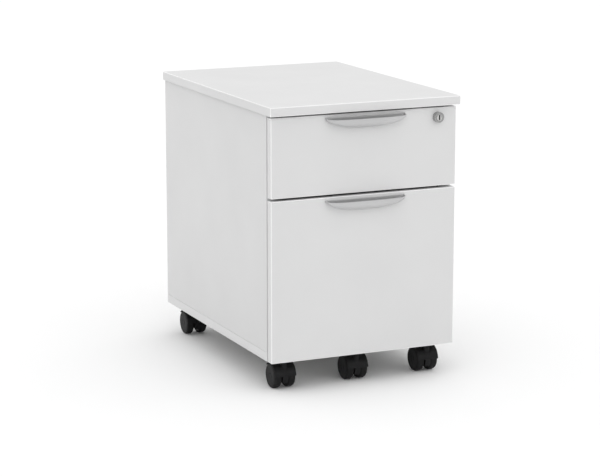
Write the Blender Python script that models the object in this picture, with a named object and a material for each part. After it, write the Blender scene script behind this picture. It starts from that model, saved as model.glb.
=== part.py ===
"""Rolling pedestal cabinet: a boarded case with two drawers on five swivelling twin-wheel casters.

The frame is in metres, +X to the right, -Y to the front, +Z up, with the origin on the floor
under the middle of the whole object. Every moving group hangs from an empty on its joint's axis.
"""

import math

import bmesh
import bpy
from mathutils import Matrix, Vector

MM = 0.001

# Driving sizes of the case
CASE_WIDTH = 400 * MM
CASE_DEPTH = 566 * MM  # front face of the drawer fronts to the back of the case
TOTAL_HEIGHT = 569 * MM  # floor to the upper face of the top
BOARD = 18 * MM
BOX_FRONT_HEIGHT = 157 * MM  # the file drawer's front takes the rest of the height
TOP_OVERHANG_SIDE = 5 * MM
TOP_OVERHANG_FRONT = 9 * MM
BOARD_EDGE = 0.8 * MM  # rounding of the boards' edge banding
SEAM = 0.3 * MM  # gap between pieces that are screwed or pressed together
CUT_PAST = 20 * MM  # how far a cutter runs past the board that it cuts
SMOOTH_BELOW = 35  # degrees: a sharper edge is shaded sharp
TOP_REVEAL = 4 * MM  # open gap between the top and the box drawer's front
FRONT_REVEAL = 5 * MM  # open gap between the two fronts
FRONT_BUFFER = 4 * MM  # the soft buffers' thickness behind the closed fronts

# Drawer boxes
DRAWER_BOARD = 12 * MM
DRAWER_BOTTOM = 9 * MM
DRAWER_BOTTOM_RAISE = 8 * MM  # sides' lower edge to the underside of the bottom
DRAWER_REAR_ROOM = 49.7 * MM  # drawer's end to the case's back panel
DRAWER_BACK_DROP = 6 * MM  # the back's upper edge under the sides'
BOX_DRAWER_DROP = 39 * MM  # front's upper edge to the sides' upper edge
BOX_DRAWER_RAISE = 10 * MM  # box drawer's front lower edge to the sides' lower edge
FILE_DRAWER_DROP = 40 * MM
FILE_DRAWER_LIFT = 12 * MM  # case bottom to the sides' lower edge
FILE_RAIL_HEIGHT = 12 * MM
FILE_RAIL_THICKNESS = 3 * MM
FILE_RAIL_END = 6 * MM

# Ball slides
SLIDE_SPACE = 12.7 * MM  # room for one slide between case side and drawer side
SLIDE_STEEL = 1.2 * MM
SLIDE_SETBACK = 33 * MM  # front edge of the case to the slides' front ends
SLIDE_REAR_ROOM = 43 * MM  # slides' rear ends to the case's back panel
SLIDE_BALL_RACE = 3.3 * MM  # room for the balls between two members' flanges
# How far each member's flanges reach from the case side, as shares of the slide's room
CASE_MEMBER_REACH = 0.75
MIDDLE_MEMBER_REACH = 0.85
DRAWER_MEMBER_REACH = 0.4
BOX_SLIDE_HEIGHT = 35 * MM
BOX_SLIDE_SHARE = 5 / 12  # drawer side's lower edge to the slide's middle, of the side's height
FILE_SLIDE_HEIGHT = 45 * MM
FILE_SLIDE_RAISE = 97 * MM  # drawer side's lower edge to the slide's middle

# Open-topped shell pulls
PULL_LENGTH = 172 * MM
PULL_HEIGHT = 23 * MM
PULL_PROJECTION = 20 * MM
PULL_DROP = 6 * MM  # front's upper edge to the pull's upper edge
PULL_LIP_DROP = 3.3 * MM  # the outer lip's edge under the pull's upper edge
PULL_WALL = 2.2 * MM
PULL_SQUARENESS = 4.0  # exponent of the plan outline: 2 is an ellipse
PULL_FOOT_SHARE = 0.985  # the lowest level's share of the full height, where a narrow flat is left
PULL_ACROSS = 28  # steps along the pull's curved outline
PULL_DOWN = 9  # steps down the pull's height

# Lock
LOCK_INSET = 42 * MM  # case side to the lock's axis
LOCK_DROP = 19 * MM  # front's upper edge to the lock's axis
LOCK_RIM_RADIUS = 10.5 * MM
LOCK_PROJECTION = 10 * MM
LOCK_FLANGE = 1.5 * MM  # the rim's reach past the barrel
LOCK_BARREL_WALL = 2.5 * MM
LOCK_BARREL_TAIL = 6 * MM  # the barrel's length behind the front
LOCK_PLUG_TAIL = 2 * MM  # the plug's length behind the barrel
LOCK_FACE_RECESS = 0.5 * MM
LOCK_CHAMFER = 0.8 * MM
KEYWAY_MARGIN = 1.5 * MM  # keyway's end to the plug's rim
KEYWAY_WIDTH = 2.6 * MM
KEYWAY_DEPTH = 12 * MM
CAM_THICKNESS = 2.5 * MM
CAM_RADIUS = 5 * MM
CAM_PIN_RADIUS = 2 * MM
LOCK_TRAVEL = 10 * MM  # how far the bar lifts in a quarter turn
LOCK_FIT = 0.3 * MM

# Locking bar
BAR_THICKNESS = 4 * MM
BAR_WIDTH = 6 * MM
BAR_PLAY = 0.5 * MM
BAR_BEHIND_CAM = 2 * MM
BAR_FORK_WALL = 4 * MM
BAR_FORK_LIP = 3 * MM  # the fork's reach past the pin
BAR_HOOK_HEIGHT = 10 * MM
BAR_HOOK_REACH = 10 * MM
BAR_TAIL = 8 * MM  # the bar's length under its lower hook
GROOVE_PAST_BAR = 16 * MM  # the groove's length under the lowered bar
CATCH_SIZE = 10 * MM
CATCH_GAP = 1.2 * MM  # hook to catch, front to back
CATCH_LIFT = 2 * MM  # lowered hook to catch, up and down
CATCH_SIDE_ROOM = 3.7 * MM  # catch to the case side
BOX_CATCH_DROP = 8 * MM  # drawer side's upper edge to the catch
FILE_CATCH_DROP = 25 * MM

# Casters
WHEEL_RADIUS = 25 * MM
CASTER_HEADROOM = 13 * MM  # top of the wheels to the underside of the case
WHEEL_OUTSIDE = 22.7 * MM  # caster's middle to a wheel's outer face
WHEEL_SHOULDER = 4 * MM
WHEEL_CAP = 4 * MM  # the closed end of a wheel's blind bore
AXLE_RADIUS = 3 * MM
AXLE_END_PLAY = 1 * MM
RUNNING_GAP = 0.3 * MM
CASTER_TRAIL = 16 * MM  # kingpin to axle
HOOD_GAP = 0.7 * MM
HOOD_WALL = 1.3 * MM
HOOD_FRONT_ANGLE = 4  # degrees above level, on the leading side
HOOD_REAR_ANGLE = 44  # degrees above level, on the trailing side
HOOD_STEPS = 22
WEB_FRONT_ANGLE = 28  # degrees below level, where the web ends on the leading side
WEB_HALF = 5.9 * MM  # half the thickness of the web between the wheels
WEB_GAP = 0.8 * MM  # wheel's inner face to the web
WEB_HUB_RADIUS = 12 * MM
KINGPIN_RADIUS = 4 * MM
KINGPIN_LENGTH = 26 * MM
KINGPIN_END_GAP = 0.9 * MM
BOSS_RADIUS = 7 * MM
BOSS_TOP_GAP = 1.2 * MM
PLATE_SIDE = 34 * MM
PLATE_THICKNESS = 2.4 * MM
PLATE_CORNER = 4 * MM
CASTER_INSET = 42 * MM  # case side to a corner caster's kingpin
FRONT_CASTER_SETBACK = 14 * MM  # front edge of the case to the front kingpins
REAR_CASTER_SETBACK = 59 * MM  # back of the case to the rear kingpins
BRACKET_WIDTH = 44 * MM
BRACKET_UPSTAND = 27 * MM  # case underside to the bracket's upper edge
BRACKET_PLAY = 0.5 * MM
WHEEL_STEPS = 36
ROUND_STEPS = 24
CORNER_STEPS = 3

# Levels and places that follow from the sizes above
HALF_WIDTH = CASE_WIDTH / 2
INNER_HALF = HALF_WIDTH - BOARD
DRAWER_HALF = INNER_HALF - SLIDE_SPACE
FACE_Y = PULL_PROJECTION - (CASE_DEPTH + PULL_PROJECTION) / 2
BACK_Y = FACE_Y + CASE_DEPTH
FRONT_BACK_Y = FACE_Y + BOARD
CASE_FRONT_Y = FRONT_BACK_Y + FRONT_BUFFER
UNDERSIDE_Z = 2 * WHEEL_RADIUS + CASTER_HEADROOM
FLOOR_Z = UNDERSIDE_Z + BOARD
TOP_UNDERSIDE_Z = TOTAL_HEIGHT - BOARD
BOX_FRONT_TOP_Z = TOP_UNDERSIDE_Z - TOP_REVEAL
BOX_FRONT_Z = BOX_FRONT_TOP_Z - BOX_FRONT_HEIGHT
FILE_FRONT_TOP_Z = BOX_FRONT_Z - FRONT_REVEAL
BOX_SIDE_Z = BOX_FRONT_Z + BOX_DRAWER_RAISE
BOX_DRAWER_HEIGHT = BOX_FRONT_TOP_Z - BOX_DRAWER_DROP - BOX_SIDE_Z
FILE_SIDE_Z = FLOOR_Z + FILE_DRAWER_LIFT
FILE_DRAWER_HEIGHT = FILE_FRONT_TOP_Z - FILE_DRAWER_DROP - FILE_SIDE_Z
DRAWER_Y = FRONT_BACK_Y + SEAM
DRAWER_END_Y = BACK_Y - BOARD - DRAWER_REAR_ROOM
SLIDE_Y = CASE_FRONT_Y + SLIDE_SETBACK
SLIDE_END_Y = BACK_Y - BOARD - SLIDE_REAR_ROOM
LOCK_BARREL_RADIUS = LOCK_RIM_RADIUS - LOCK_FLANGE
LOCK_PLUG_RADIUS = LOCK_BARREL_RADIUS - LOCK_BARREL_WALL
LOCK_X = HALF_WIDTH - LOCK_INSET
LOCK_Z = BOX_FRONT_TOP_Z - LOCK_DROP
BARREL_END_Y = FRONT_BACK_Y + LOCK_BARREL_TAIL
PLUG_END_Y = BARREL_END_Y + LOCK_PLUG_TAIL
CAM_Y = PLUG_END_Y + SEAM
BAR_Y = CAM_Y + CAM_THICKNESS + BAR_BEHIND_CAM
# The cam's pin swings from 45 degrees below its middle line to 45 degrees above it.
PIN_THROW = LOCK_TRAVEL / math.sqrt(2)
PIN_X = LOCK_X - LOCK_TRAVEL / 2
PIN_Z = LOCK_Z - LOCK_TRAVEL / 2
CATCH_Y = BAR_Y + BAR_WIDTH + CATCH_GAP
BOX_CATCH_Z = BOX_SIDE_Z + BOX_DRAWER_HEIGHT - BOX_CATCH_DROP - CATCH_SIZE
FILE_CATCH_Z = FILE_SIDE_Z + FILE_DRAWER_HEIGHT - FILE_CATCH_DROP - CATCH_SIZE
BAR_TAIL_Z = FILE_CATCH_Z - CATCH_LIFT - BAR_HOOK_HEIGHT - BAR_TAIL
HOOD_INNER = WHEEL_RADIUS + HOOD_GAP
HOOD_OUTER = HOOD_INNER + HOOD_WALL
WHEEL_INSIDE = WEB_HALF + WEB_GAP
BORE_END = WHEEL_OUTSIDE - WHEEL_CAP
FRONT_CASTER_Y = CASE_FRONT_Y + FRONT_CASTER_SETBACK
PLATE_TOP_Z = UNDERSIDE_Z - SEAM
PLATE_Z = PLATE_TOP_Z - PLATE_THICKNESS
BRACKET_Y = FRONT_BACK_Y + SEAM


def clear_scene():
    for item in list(bpy.data.objects):
        bpy.data.objects.remove(item, do_unlink=True)


def paint(name, colour, roughness, metallic=0.0):
    material = bpy.data.materials.new(name)
    material.use_nodes = True
    shader = material.node_tree.nodes["Principled BSDF"]
    shader.inputs["Base Color"].default_value = (*colour, 1.0)
    shader.inputs["Roughness"].default_value = roughness
    shader.inputs["Metallic"].default_value = metallic
    material.diffuse_color = (*colour, 1.0)
    return material


def pivot(name, place, parent=None):
    """An empty on a joint's axis. The pieces of the moving group hang from it."""
    empty = bpy.data.objects.new(name, None)
    empty.empty_display_size = 0.02
    bpy.context.collection.objects.link(empty)
    empty["place"] = tuple(place)
    empty.parent = parent
    empty.location = Vector(place) - (Vector(parent["place"]) if parent else Vector())
    return empty


def add(name, mesh, material, group=None, at=(0, 0, 0)):
    """Make the mesh a named object of the group. The mesh is drawn about the point `at`."""
    piece = bpy.data.objects.new(name, mesh)
    bpy.context.collection.objects.link(piece)
    if not mesh.materials:
        mesh.materials.append(material)
    piece.parent = group
    piece.location = Vector(at) - (Vector(group["place"]) if group else Vector())
    return piece


def to_mesh(bm, smooth=False):
    bmesh.ops.recalc_face_normals(bm, faces=bm.faces)
    mesh = bpy.data.meshes.new("shape")
    bm.to_mesh(mesh)
    bm.free()
    if smooth:
        mesh.shade_smooth()
        mesh.set_sharp_from_angle(angle=math.radians(SMOOTH_BELOW))
    return mesh


def block(low, high, edge=0.0):
    """A rectangular block between two corners, with its edges chamfered by `edge`."""
    low, high = Vector(low), Vector(high)
    bm = bmesh.new()
    size = Matrix.Diagonal((*(high - low), 1.0))
    bmesh.ops.create_cube(bm, size=1, matrix=Matrix.Translation((low + high) / 2) @ size)
    if edge:
        bmesh.ops.bevel(bm, geom=bm.edges, offset=edge, segments=1, affect="EDGES")
    return to_mesh(bm)


def prism(outline, start, end, axis):
    """An outline in the plane across `axis`, drawn out from start to end along it.

    The outline's points are (Y, Z) for the X axis, (X, Z) for Y and (X, Y) for Z.
    """
    place = {
        "X": lambda p: (start, p[0], p[1]),
        "Y": lambda p: (p[0], start, p[1]),
        "Z": lambda p: (p[0], p[1], start),
    }[axis]
    bm = bmesh.new()
    face = bm.faces.new([bm.verts.new(place(point)) for point in outline])
    drawn = bmesh.ops.extrude_face_region(bm, geom=[face])["geom"]
    along = Vector([end - start if axis == name else 0 for name in "XYZ"])
    bmesh.ops.translate(bm, vec=along, verts=[v for v in drawn if isinstance(v, bmesh.types.BMVert)])
    return to_mesh(bm, smooth=len(outline) > 12)


def arc(centre, radius, first, last, steps):
    """Points on an arc, with its angles in degrees."""
    turns = [math.radians(first + (last - first) * i / steps) for i in range(steps + 1)]
    return [(centre[0] + radius * math.cos(t), centre[1] + radius * math.sin(t)) for t in turns]


def disc(centre, radius, steps=ROUND_STEPS):
    return arc(centre, radius, 0, 360, steps)[:-1]


def turned(profile, axis, steps=ROUND_STEPS):
    """A closed profile of (radius, distance) points, turned about the X or Y axis."""
    bm = bmesh.new()
    rings = []
    for radius, along in profile:
        count = steps if radius > 0 else 1
        turns = [2 * math.pi * i / steps for i in range(count)]
        ring = [(radius * math.cos(t), radius * math.sin(t)) for t in turns]
        if axis == "X":
            rings.append([bm.verts.new((along, a, b)) for a, b in ring])
        else:
            rings.append([bm.verts.new((a, along, b)) for a, b in ring])
    ends_on_axis = profile[0][0] == 0
    following = rings[1:] if ends_on_axis else rings[1:] + rings[:1]
    for ring, other in zip(rings, following):
        for i in range(steps):
            corners = [ring[i % len(ring)], ring[(i + 1) % len(ring)]]
            corners += [other[(i + 1) % len(other)], other[i % len(other)]]
            bm.faces.new(list(dict.fromkeys(corners)))
    return to_mesh(bm, smooth=True)


def combined(base, *steps):
    """The base mesh after each (operation, mesh) step, worked out by Boolean modifiers."""
    body = bpy.data.objects.new("body", base)
    bpy.context.collection.objects.link(body)
    tools = []
    for operation, mesh in steps:
        tool = bpy.data.objects.new("tool", mesh)
        tool.hide_render = True
        tool.display_type = "WIRE"
        bpy.context.collection.objects.link(tool)
        cut = body.modifiers.new(operation.lower(), "BOOLEAN")
        cut.operation = operation
        cut.solver = "EXACT"
        cut.object = tool
        tools.append(tool)
    graph = bpy.context.evaluated_depsgraph_get()
    result = bpy.data.meshes.new_from_object(body.evaluated_get(graph), depsgraph=graph)
    result.materials.clear()
    for item in [body, *tools]:
        bpy.data.objects.remove(item, do_unlink=True)
    result.shade_smooth()
    result.set_sharp_from_angle(angle=math.radians(SMOOTH_BELOW))
    return result


def make_case():
    """Top, bottom, sides and back. The bottom runs full width and the sides stand on it."""
    wide = HALF_WIDTH + TOP_OVERHANG_SIDE
    top_low = (-wide, FACE_Y - TOP_OVERHANG_FRONT, TOP_UNDERSIDE_Z)
    add("top_panel", block(top_low, (wide, BACK_Y, TOTAL_HEIGHT), BOARD_EDGE), white)

    low = (-HALF_WIDTH, CASE_FRONT_Y, UNDERSIDE_Z)
    bottom = block(low, (HALF_WIDTH, BACK_Y, FLOOR_Z), BOARD_EDGE)
    notch_half = BRACKET_WIDTH / 2 + BRACKET_PLAY
    notch_back = BRACKET_Y + PLATE_THICKNESS + BRACKET_PLAY
    notch = block(
        (-notch_half, CASE_FRONT_Y - CUT_PAST, UNDERSIDE_Z - CUT_PAST),
        (notch_half, notch_back, FLOOR_Z + CUT_PAST),
    )
    add("bottom_panel", combined(bottom, ("DIFFERENCE", notch)), white)

    side_z, side_top_z = FLOOR_Z + SEAM, TOP_UNDERSIDE_Z - SEAM
    left = block((-HALF_WIDTH, CASE_FRONT_Y, side_z), (-INNER_HALF, BACK_Y, side_top_z), BOARD_EDGE)
    add("side_panel_left", left, white)
    right = block((INNER_HALF, CASE_FRONT_Y, side_z), (HALF_WIDTH, BACK_Y, side_top_z), BOARD_EDGE)
    groove = block(
        (INNER_HALF - CUT_PAST, BAR_Y - BAR_PLAY, BAR_TAIL_Z - GROOVE_PAST_BAR),
        (INNER_HALF + BAR_THICKNESS + 2 * BAR_PLAY, BAR_Y + BAR_WIDTH + BAR_PLAY, TOTAL_HEIGHT),
    )
    add("side_panel_right", combined(right, ("DIFFERENCE", groove)), white)

    back_half = INNER_HALF - SEAM
    back = block((-back_half, BACK_Y - BOARD, side_z), (back_half, BACK_Y, side_top_z), BOARD_EDGE)
    add("back_panel", back, white)


def channel(side, web_out, reach, height, z):
    """A slide member: a C channel along Y. `web_out` and `reach` are measured from the case side
    towards the drawer, so a reach under web_out opens the channel towards the case.
    """
    toward = math.copysign(SLIDE_STEEL, reach - web_out)
    half = height / 2
    corners = [
        (web_out, -half),
        (reach, -half),
        (reach, -half + SLIDE_STEEL),
        (web_out + toward, -half + SLIDE_STEEL),
        (web_out + toward, half - SLIDE_STEEL),
        (reach, half - SLIDE_STEEL),
        (reach, half),
        (web_out, half),
    ]
    outline = [(side * (INNER_HALF - out), z + up) for out, up in corners]
    return prism(outline, SLIDE_Y, SLIDE_END_Y, "Y")


def make_slides(prefix, z, height, drawer, middle=None):
    """A left and a right slide. With a middle group it is a full-extension slide of three members."""
    nested = 2 * (SLIDE_STEEL + SLIDE_BALL_RACE)
    for side, word in ((-1, "left"), (1, "right")):
        outer = channel(side, SEAM, SLIDE_SPACE * CASE_MEMBER_REACH, height, z)
        add(f"{prefix}_slide_case_{word}", outer, zinc)
        inner_height = height - nested
        if middle:
            web = SEAM + SLIDE_STEEL + 2 * SEAM
            reach = SLIDE_SPACE * MIDDLE_MEMBER_REACH
            mid = channel(side, web, reach, inner_height, z)
            add(f"{prefix}_slide_middle_{word}", mid, zinc, middle)
            inner_height -= nested
        reach = SLIDE_SPACE * DRAWER_MEMBER_REACH
        inner = channel(side, SLIDE_SPACE - SEAM, reach, inner_height, z)
        add(f"{prefix}_slide_drawer_{word}", inner, zinc, drawer)


def make_box(prefix, low_z, height, group):
    """Sides, back and bottom of a drawer, behind its front."""
    start, end = DRAWER_Y, DRAWER_END_Y
    inside = DRAWER_HALF - DRAWER_BOARD
    edge = BOARD_EDGE / 2
    for side, word in ((-1, "left"), (1, "right")):
        near, far = sorted((side * inside, side * DRAWER_HALF))
        wall = block((near, start, low_z), (far, end, low_z + height), edge)
        add(f"{prefix}_side_{word}", wall, drawer_white, group)
    across = inside - SEAM
    back_top = low_z + height - DRAWER_BACK_DROP
    back = block((-across, end - DRAWER_BOARD, low_z), (across, end, back_top), edge)
    add(f"{prefix}_back", back, drawer_white, group)
    floor_z = low_z + DRAWER_BOTTOM_RAISE
    floor_end = end - DRAWER_BOARD - SEAM
    floor = block((-across, start, floor_z), (across, floor_end, floor_z + DRAWER_BOTTOM))
    add(f"{prefix}_bottom", floor, drawer_white, group)


def make_front(name, low_z, top_z, group, cutter=None):
    front = block((-HALF_WIDTH, FACE_Y, low_z), (HALF_WIDTH, FRONT_BACK_Y, top_z), BOARD_EDGE)
    if cutter:
        front = combined(front, ("DIFFERENCE", cutter))
    add(name, front, white, group)


def pull_ring(half, depth, top_z, face_y, lip_drop):
    """One level of the pull: a straight back at face_y and a squared curve round the front."""
    points = []
    power = 2 / PULL_SQUARENESS
    for step in range(PULL_ACROSS + 1):
        turn = math.pi * step / PULL_ACROSS
        across = half * math.copysign(abs(math.cos(turn)) ** power, math.cos(turn))
        out = abs(math.sin(turn)) ** power
        points.append((across, face_y - depth * out, top_z - lip_drop * out))
    return points


def pull_levels(half, depth, height, face_y, top_z, lip_drop):
    """Levels from the open top down to the rounded foot. The outline narrows as an ellipse does."""
    levels = []
    for step in range(PULL_DOWN + 1):
        share = math.sin(math.pi / 2 * step / PULL_DOWN) * PULL_FOOT_SHARE
        narrow = math.sqrt(1 - share**2)
        shallow = math.sqrt(1 - share**3)
        down = top_z - height * share
        levels.append(pull_ring(half * narrow, depth * shallow, down, face_y, lip_drop * (1 - share)))
    return levels


def pull_shell(top_z):
    """A half-moon shell, closed below and open above, with a flat back on the drawer front."""
    back_y = FACE_Y - SEAM
    outer = pull_levels(PULL_LENGTH / 2, PULL_PROJECTION - SEAM, PULL_HEIGHT, back_y, top_z, PULL_LIP_DROP)
    inner = pull_levels(
        PULL_LENGTH / 2 - PULL_WALL,
        PULL_PROJECTION - SEAM - 2 * PULL_WALL,
        PULL_HEIGHT - 2 * PULL_WALL,
        back_y - PULL_WALL,
        top_z,
        PULL_LIP_DROP,
    )
    bm = bmesh.new()
    skins = [[[bm.verts.new(point) for point in level] for level in levels] for levels in (outer, inner)]
    for skin in skins:
        for upper, lower in zip(skin, skin[1:]):
            for i in range(-1, PULL_ACROSS):
                bm.faces.new((upper[i], upper[i + 1], lower[i + 1], lower[i]))
        bm.faces.new(skin[-1])
    rim_out, rim_in = skins[0][0], skins[1][0]
    for i in range(-1, PULL_ACROSS):
        bm.faces.new((rim_out[i], rim_out[i + 1], rim_in[i + 1], rim_in[i]))
    return to_mesh(bm, smooth=True)


def make_lock(drawer):
    """Barrel in the front, plug and cam that turn in it."""
    rim_y = FACE_Y - LOCK_PROJECTION
    bore = LOCK_PLUG_RADIUS + LOCK_FIT
    barrel = [
        (bore, rim_y),
        (LOCK_RIM_RADIUS - LOCK_CHAMFER, rim_y),
        (LOCK_RIM_RADIUS, rim_y + LOCK_CHAMFER),
        (LOCK_RIM_RADIUS, FACE_Y - SEAM),
        (LOCK_BARREL_RADIUS, FACE_Y - SEAM),
        (LOCK_BARREL_RADIUS, BARREL_END_Y),
        (bore, BARREL_END_Y),
    ]
    add("lock_barrel", turned(barrel, "Y"), nickel, drawer, (LOCK_X, 0, LOCK_Z))

    turning = pivot("lock_turn", (LOCK_X, 0, LOCK_Z), drawer)
    plug_y = rim_y + LOCK_FACE_RECESS
    plug = [(0, plug_y), (LOCK_PLUG_RADIUS, plug_y), (LOCK_PLUG_RADIUS, PLUG_END_Y), (0, PLUG_END_Y)]
    half_wide, half_high = KEYWAY_WIDTH / 2, LOCK_PLUG_RADIUS - KEYWAY_MARGIN
    keyway_low = (-half_wide, rim_y - CUT_PAST, -half_high)
    keyway = block(keyway_low, (half_wide, plug_y + KEYWAY_DEPTH, half_high))
    add(
        "lock_plug",
        combined(turned(plug, "Y"), ("DIFFERENCE", keyway)),
        nickel,
        turning,
        (LOCK_X, 0, LOCK_Z),
    )
    # The lever points down to the left at 225 degrees, and the plug's quarter turn lifts it to 135.
    lever = arc((0, 0), CAM_RADIUS, -45, 135, ROUND_STEPS // 2)
    lever += arc((PIN_X - LOCK_X, PIN_Z - LOCK_Z), CAM_RADIUS, 135, 315, ROUND_STEPS // 2)
    plate = prism(lever, CAM_Y, CAM_Y + CAM_THICKNESS, "Y")
    pin_end = BAR_Y + BAR_WIDTH - BAR_PLAY
    pin_at = (PIN_X - LOCK_X, PIN_Z - LOCK_Z)
    pin = prism(disc(pin_at, CAM_PIN_RADIUS), CAM_Y + CAM_THICKNESS / 2, pin_end, "Y")
    add("lock_cam", combined(plate, ("UNION", pin)), zinc, turning, (LOCK_X, 0, LOCK_Z))


def make_lock_bar():
    """A flat bar in the right side's groove: a fork round the cam's pin and a hook for each drawer."""
    lifting = pivot("lock_bar_lift", (INNER_HALF, BAR_Y, LOCK_Z))
    near = INNER_HALF + BAR_PLAY
    far = near + BAR_THICKNESS
    hook_x = INNER_HALF - BAR_HOOK_REACH
    slot_half = CAM_PIN_RADIUS + BAR_PLAY
    fork_half = slot_half + BAR_FORK_WALL
    swing = PIN_THROW - LOCK_TRAVEL / 2  # the pin's sideways travel while it rises
    fork_x = PIN_X - swing - CAM_PIN_RADIUS - BAR_FORK_LIP
    slot_x = PIN_X + CAM_PIN_RADIUS + BAR_PLAY
    outline = [
        (far, PIN_Z + fork_half),
        (fork_x, PIN_Z + fork_half),
        (fork_x, PIN_Z + slot_half),
        (slot_x, PIN_Z + slot_half),
        (slot_x, PIN_Z - slot_half),
        (fork_x, PIN_Z - slot_half),
        (fork_x, PIN_Z - fork_half),
        (near, PIN_Z - fork_half),
    ]
    for catch_z in (BOX_CATCH_Z, FILE_CATCH_Z):
        top = catch_z - CATCH_LIFT
        low = top - BAR_HOOK_HEIGHT
        outline += [(near, top), (hook_x, top), (hook_x, low), (near, low)]
    outline += [(near, BAR_TAIL_Z), (far, BAR_TAIL_Z)]
    add("lock_bar", prism(outline, BAR_Y, BAR_Y + BAR_WIDTH, "Y"), zinc, lifting)


def make_catch(name, low_z, group):
    """The block on a drawer's right side that the bar's raised hook stops."""
    near = DRAWER_HALF + SEAM
    far = INNER_HALF - CATCH_SIDE_ROOM
    shape = block((near, CATCH_Y, low_z), (far, CATCH_Y + CATCH_SIZE, low_z + CATCH_SIZE), BOARD_EDGE)
    add(name, shape, zinc, group)


def make_box_drawer():
    drawer = pivot("box_drawer_slide", (0, FACE_Y, (BOX_FRONT_Z + BOX_FRONT_TOP_Z) / 2))
    hole = prism(
        disc((LOCK_X, LOCK_Z), LOCK_BARREL_RADIUS + LOCK_FIT),
        FACE_Y - CUT_PAST,
        FRONT_BACK_Y + CUT_PAST,
        "Y",
    )
    make_front("box_drawer_front", BOX_FRONT_Z, BOX_FRONT_TOP_Z, drawer, hole)
    make_box("box_drawer", BOX_SIDE_Z, BOX_DRAWER_HEIGHT, drawer)
    add("box_drawer_pull", pull_shell(BOX_FRONT_TOP_Z - PULL_DROP), satin, drawer)
    slide_z = BOX_SIDE_Z + BOX_DRAWER_HEIGHT * BOX_SLIDE_SHARE
    make_slides("box_drawer", slide_z, BOX_SLIDE_HEIGHT, drawer)
    make_catch("box_drawer_catch", BOX_CATCH_Z, drawer)
    make_lock(drawer)


def make_file_drawer():
    drawer = pivot("file_drawer_slide", (0, FACE_Y, (UNDERSIDE_Z + FILE_FRONT_TOP_Z) / 2))
    middle = pivot("file_slide_middle", (0, SLIDE_Y, FILE_SIDE_Z + FILE_SLIDE_RAISE))
    make_front("file_drawer_front", UNDERSIDE_Z, FILE_FRONT_TOP_Z, drawer)
    make_box("file_drawer", FILE_SIDE_Z, FILE_DRAWER_HEIGHT, drawer)
    add("file_drawer_pull", pull_shell(FILE_FRONT_TOP_Z - PULL_DROP), satin, drawer)
    make_slides("file_drawer", FILE_SIDE_Z + FILE_SLIDE_RAISE, FILE_SLIDE_HEIGHT, drawer, middle)
    make_catch("file_drawer_catch", FILE_CATCH_Z, drawer)

    rail_z = FILE_SIDE_Z + FILE_DRAWER_HEIGHT + SEAM
    rail_start = FRONT_BACK_Y + FILE_RAIL_END
    rail_end = DRAWER_END_Y - FILE_RAIL_END
    middle_x = DRAWER_HALF - DRAWER_BOARD / 2
    for side, word in ((-1, "left"), (1, "right")):
        near = side * middle_x - FILE_RAIL_THICKNESS / 2
        far = near + FILE_RAIL_THICKNESS
        rail = block((near, rail_start, rail_z), (far, rail_end, rail_z + FILE_RAIL_HEIGHT))
        add(f"file_rail_{word}", rail, zinc, drawer)
    return drawer


def hood_mesh():
    """Hood, web and socket as one moulding, drawn about the axle's middle."""
    first, last = 180 - HOOD_FRONT_ANGLE, HOOD_REAR_ANGLE
    shell = arc((0, 0), HOOD_OUTER, first, last, HOOD_STEPS)
    shell += arc((0, 0), HOOD_INNER, last, first, HOOD_STEPS)
    shell = prism(shell, -WHEEL_OUTSIDE, WHEEL_OUTSIDE, "X")
    web_first = 180 + WEB_FRONT_ANGLE
    web = [(0, 0), *arc((0, 0), HOOD_INNER + HOOD_WALL / 2, web_first, last, HOOD_STEPS)]
    web = prism(web, -WEB_HALF, WEB_HALF, "X")
    hub = prism(disc((0, 0), WEB_HUB_RADIUS), -WEB_HALF, WEB_HALF, "X")
    boss_top = PLATE_Z - BOSS_TOP_GAP - WHEEL_RADIUS
    boss = prism(disc((0, -CASTER_TRAIL), BOSS_RADIUS), 0, boss_top, "Z")
    room_half = WHEEL_OUTSIDE + CUT_PAST
    room_round = disc((0, 0), (HOOD_INNER + HOOD_OUTER) / 2, WHEEL_STEPS)
    wheel_room = prism(room_round, -room_half, room_half, "X")
    socket = prism(
        disc((0, -CASTER_TRAIL), KINGPIN_RADIUS + RUNNING_GAP),
        PLATE_Z - KINGPIN_LENGTH - KINGPIN_END_GAP - WHEEL_RADIUS,
        boss_top + CUT_PAST,
        "Z",
    )
    axle_hole = prism(disc((0, 0), AXLE_RADIUS + RUNNING_GAP), -WHEEL_OUTSIDE, WHEEL_OUTSIDE, "X")
    return combined(
        boss,
        ("DIFFERENCE", wheel_room),
        ("UNION", shell),
        ("UNION", web),
        ("UNION", hub),
        ("DIFFERENCE", socket),
        ("DIFFERENCE", axle_hole),
    )


def wheel_mesh():
    """The right-hand wheel, turned about X and drawn about the axle's middle."""
    bore = AXLE_RADIUS + RUNNING_GAP
    round_at = (WHEEL_RADIUS - WHEEL_SHOULDER, WHEEL_OUTSIDE - WHEEL_SHOULDER)
    shoulder = arc(round_at, WHEEL_SHOULDER, 0, 90, CORNER_STEPS)
    inner_at = (WHEEL_RADIUS - WHEEL_SHOULDER, WHEEL_INSIDE + WHEEL_SHOULDER)
    profile = [
        (0, BORE_END),
        (bore, BORE_END),
        (bore, WHEEL_INSIDE),
        *arc(inner_at, WHEEL_SHOULDER, -90, 0, CORNER_STEPS),
        *shoulder,
        (0, WHEEL_OUTSIDE),
    ]
    return turned(profile, "X", WHEEL_STEPS)


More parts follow.
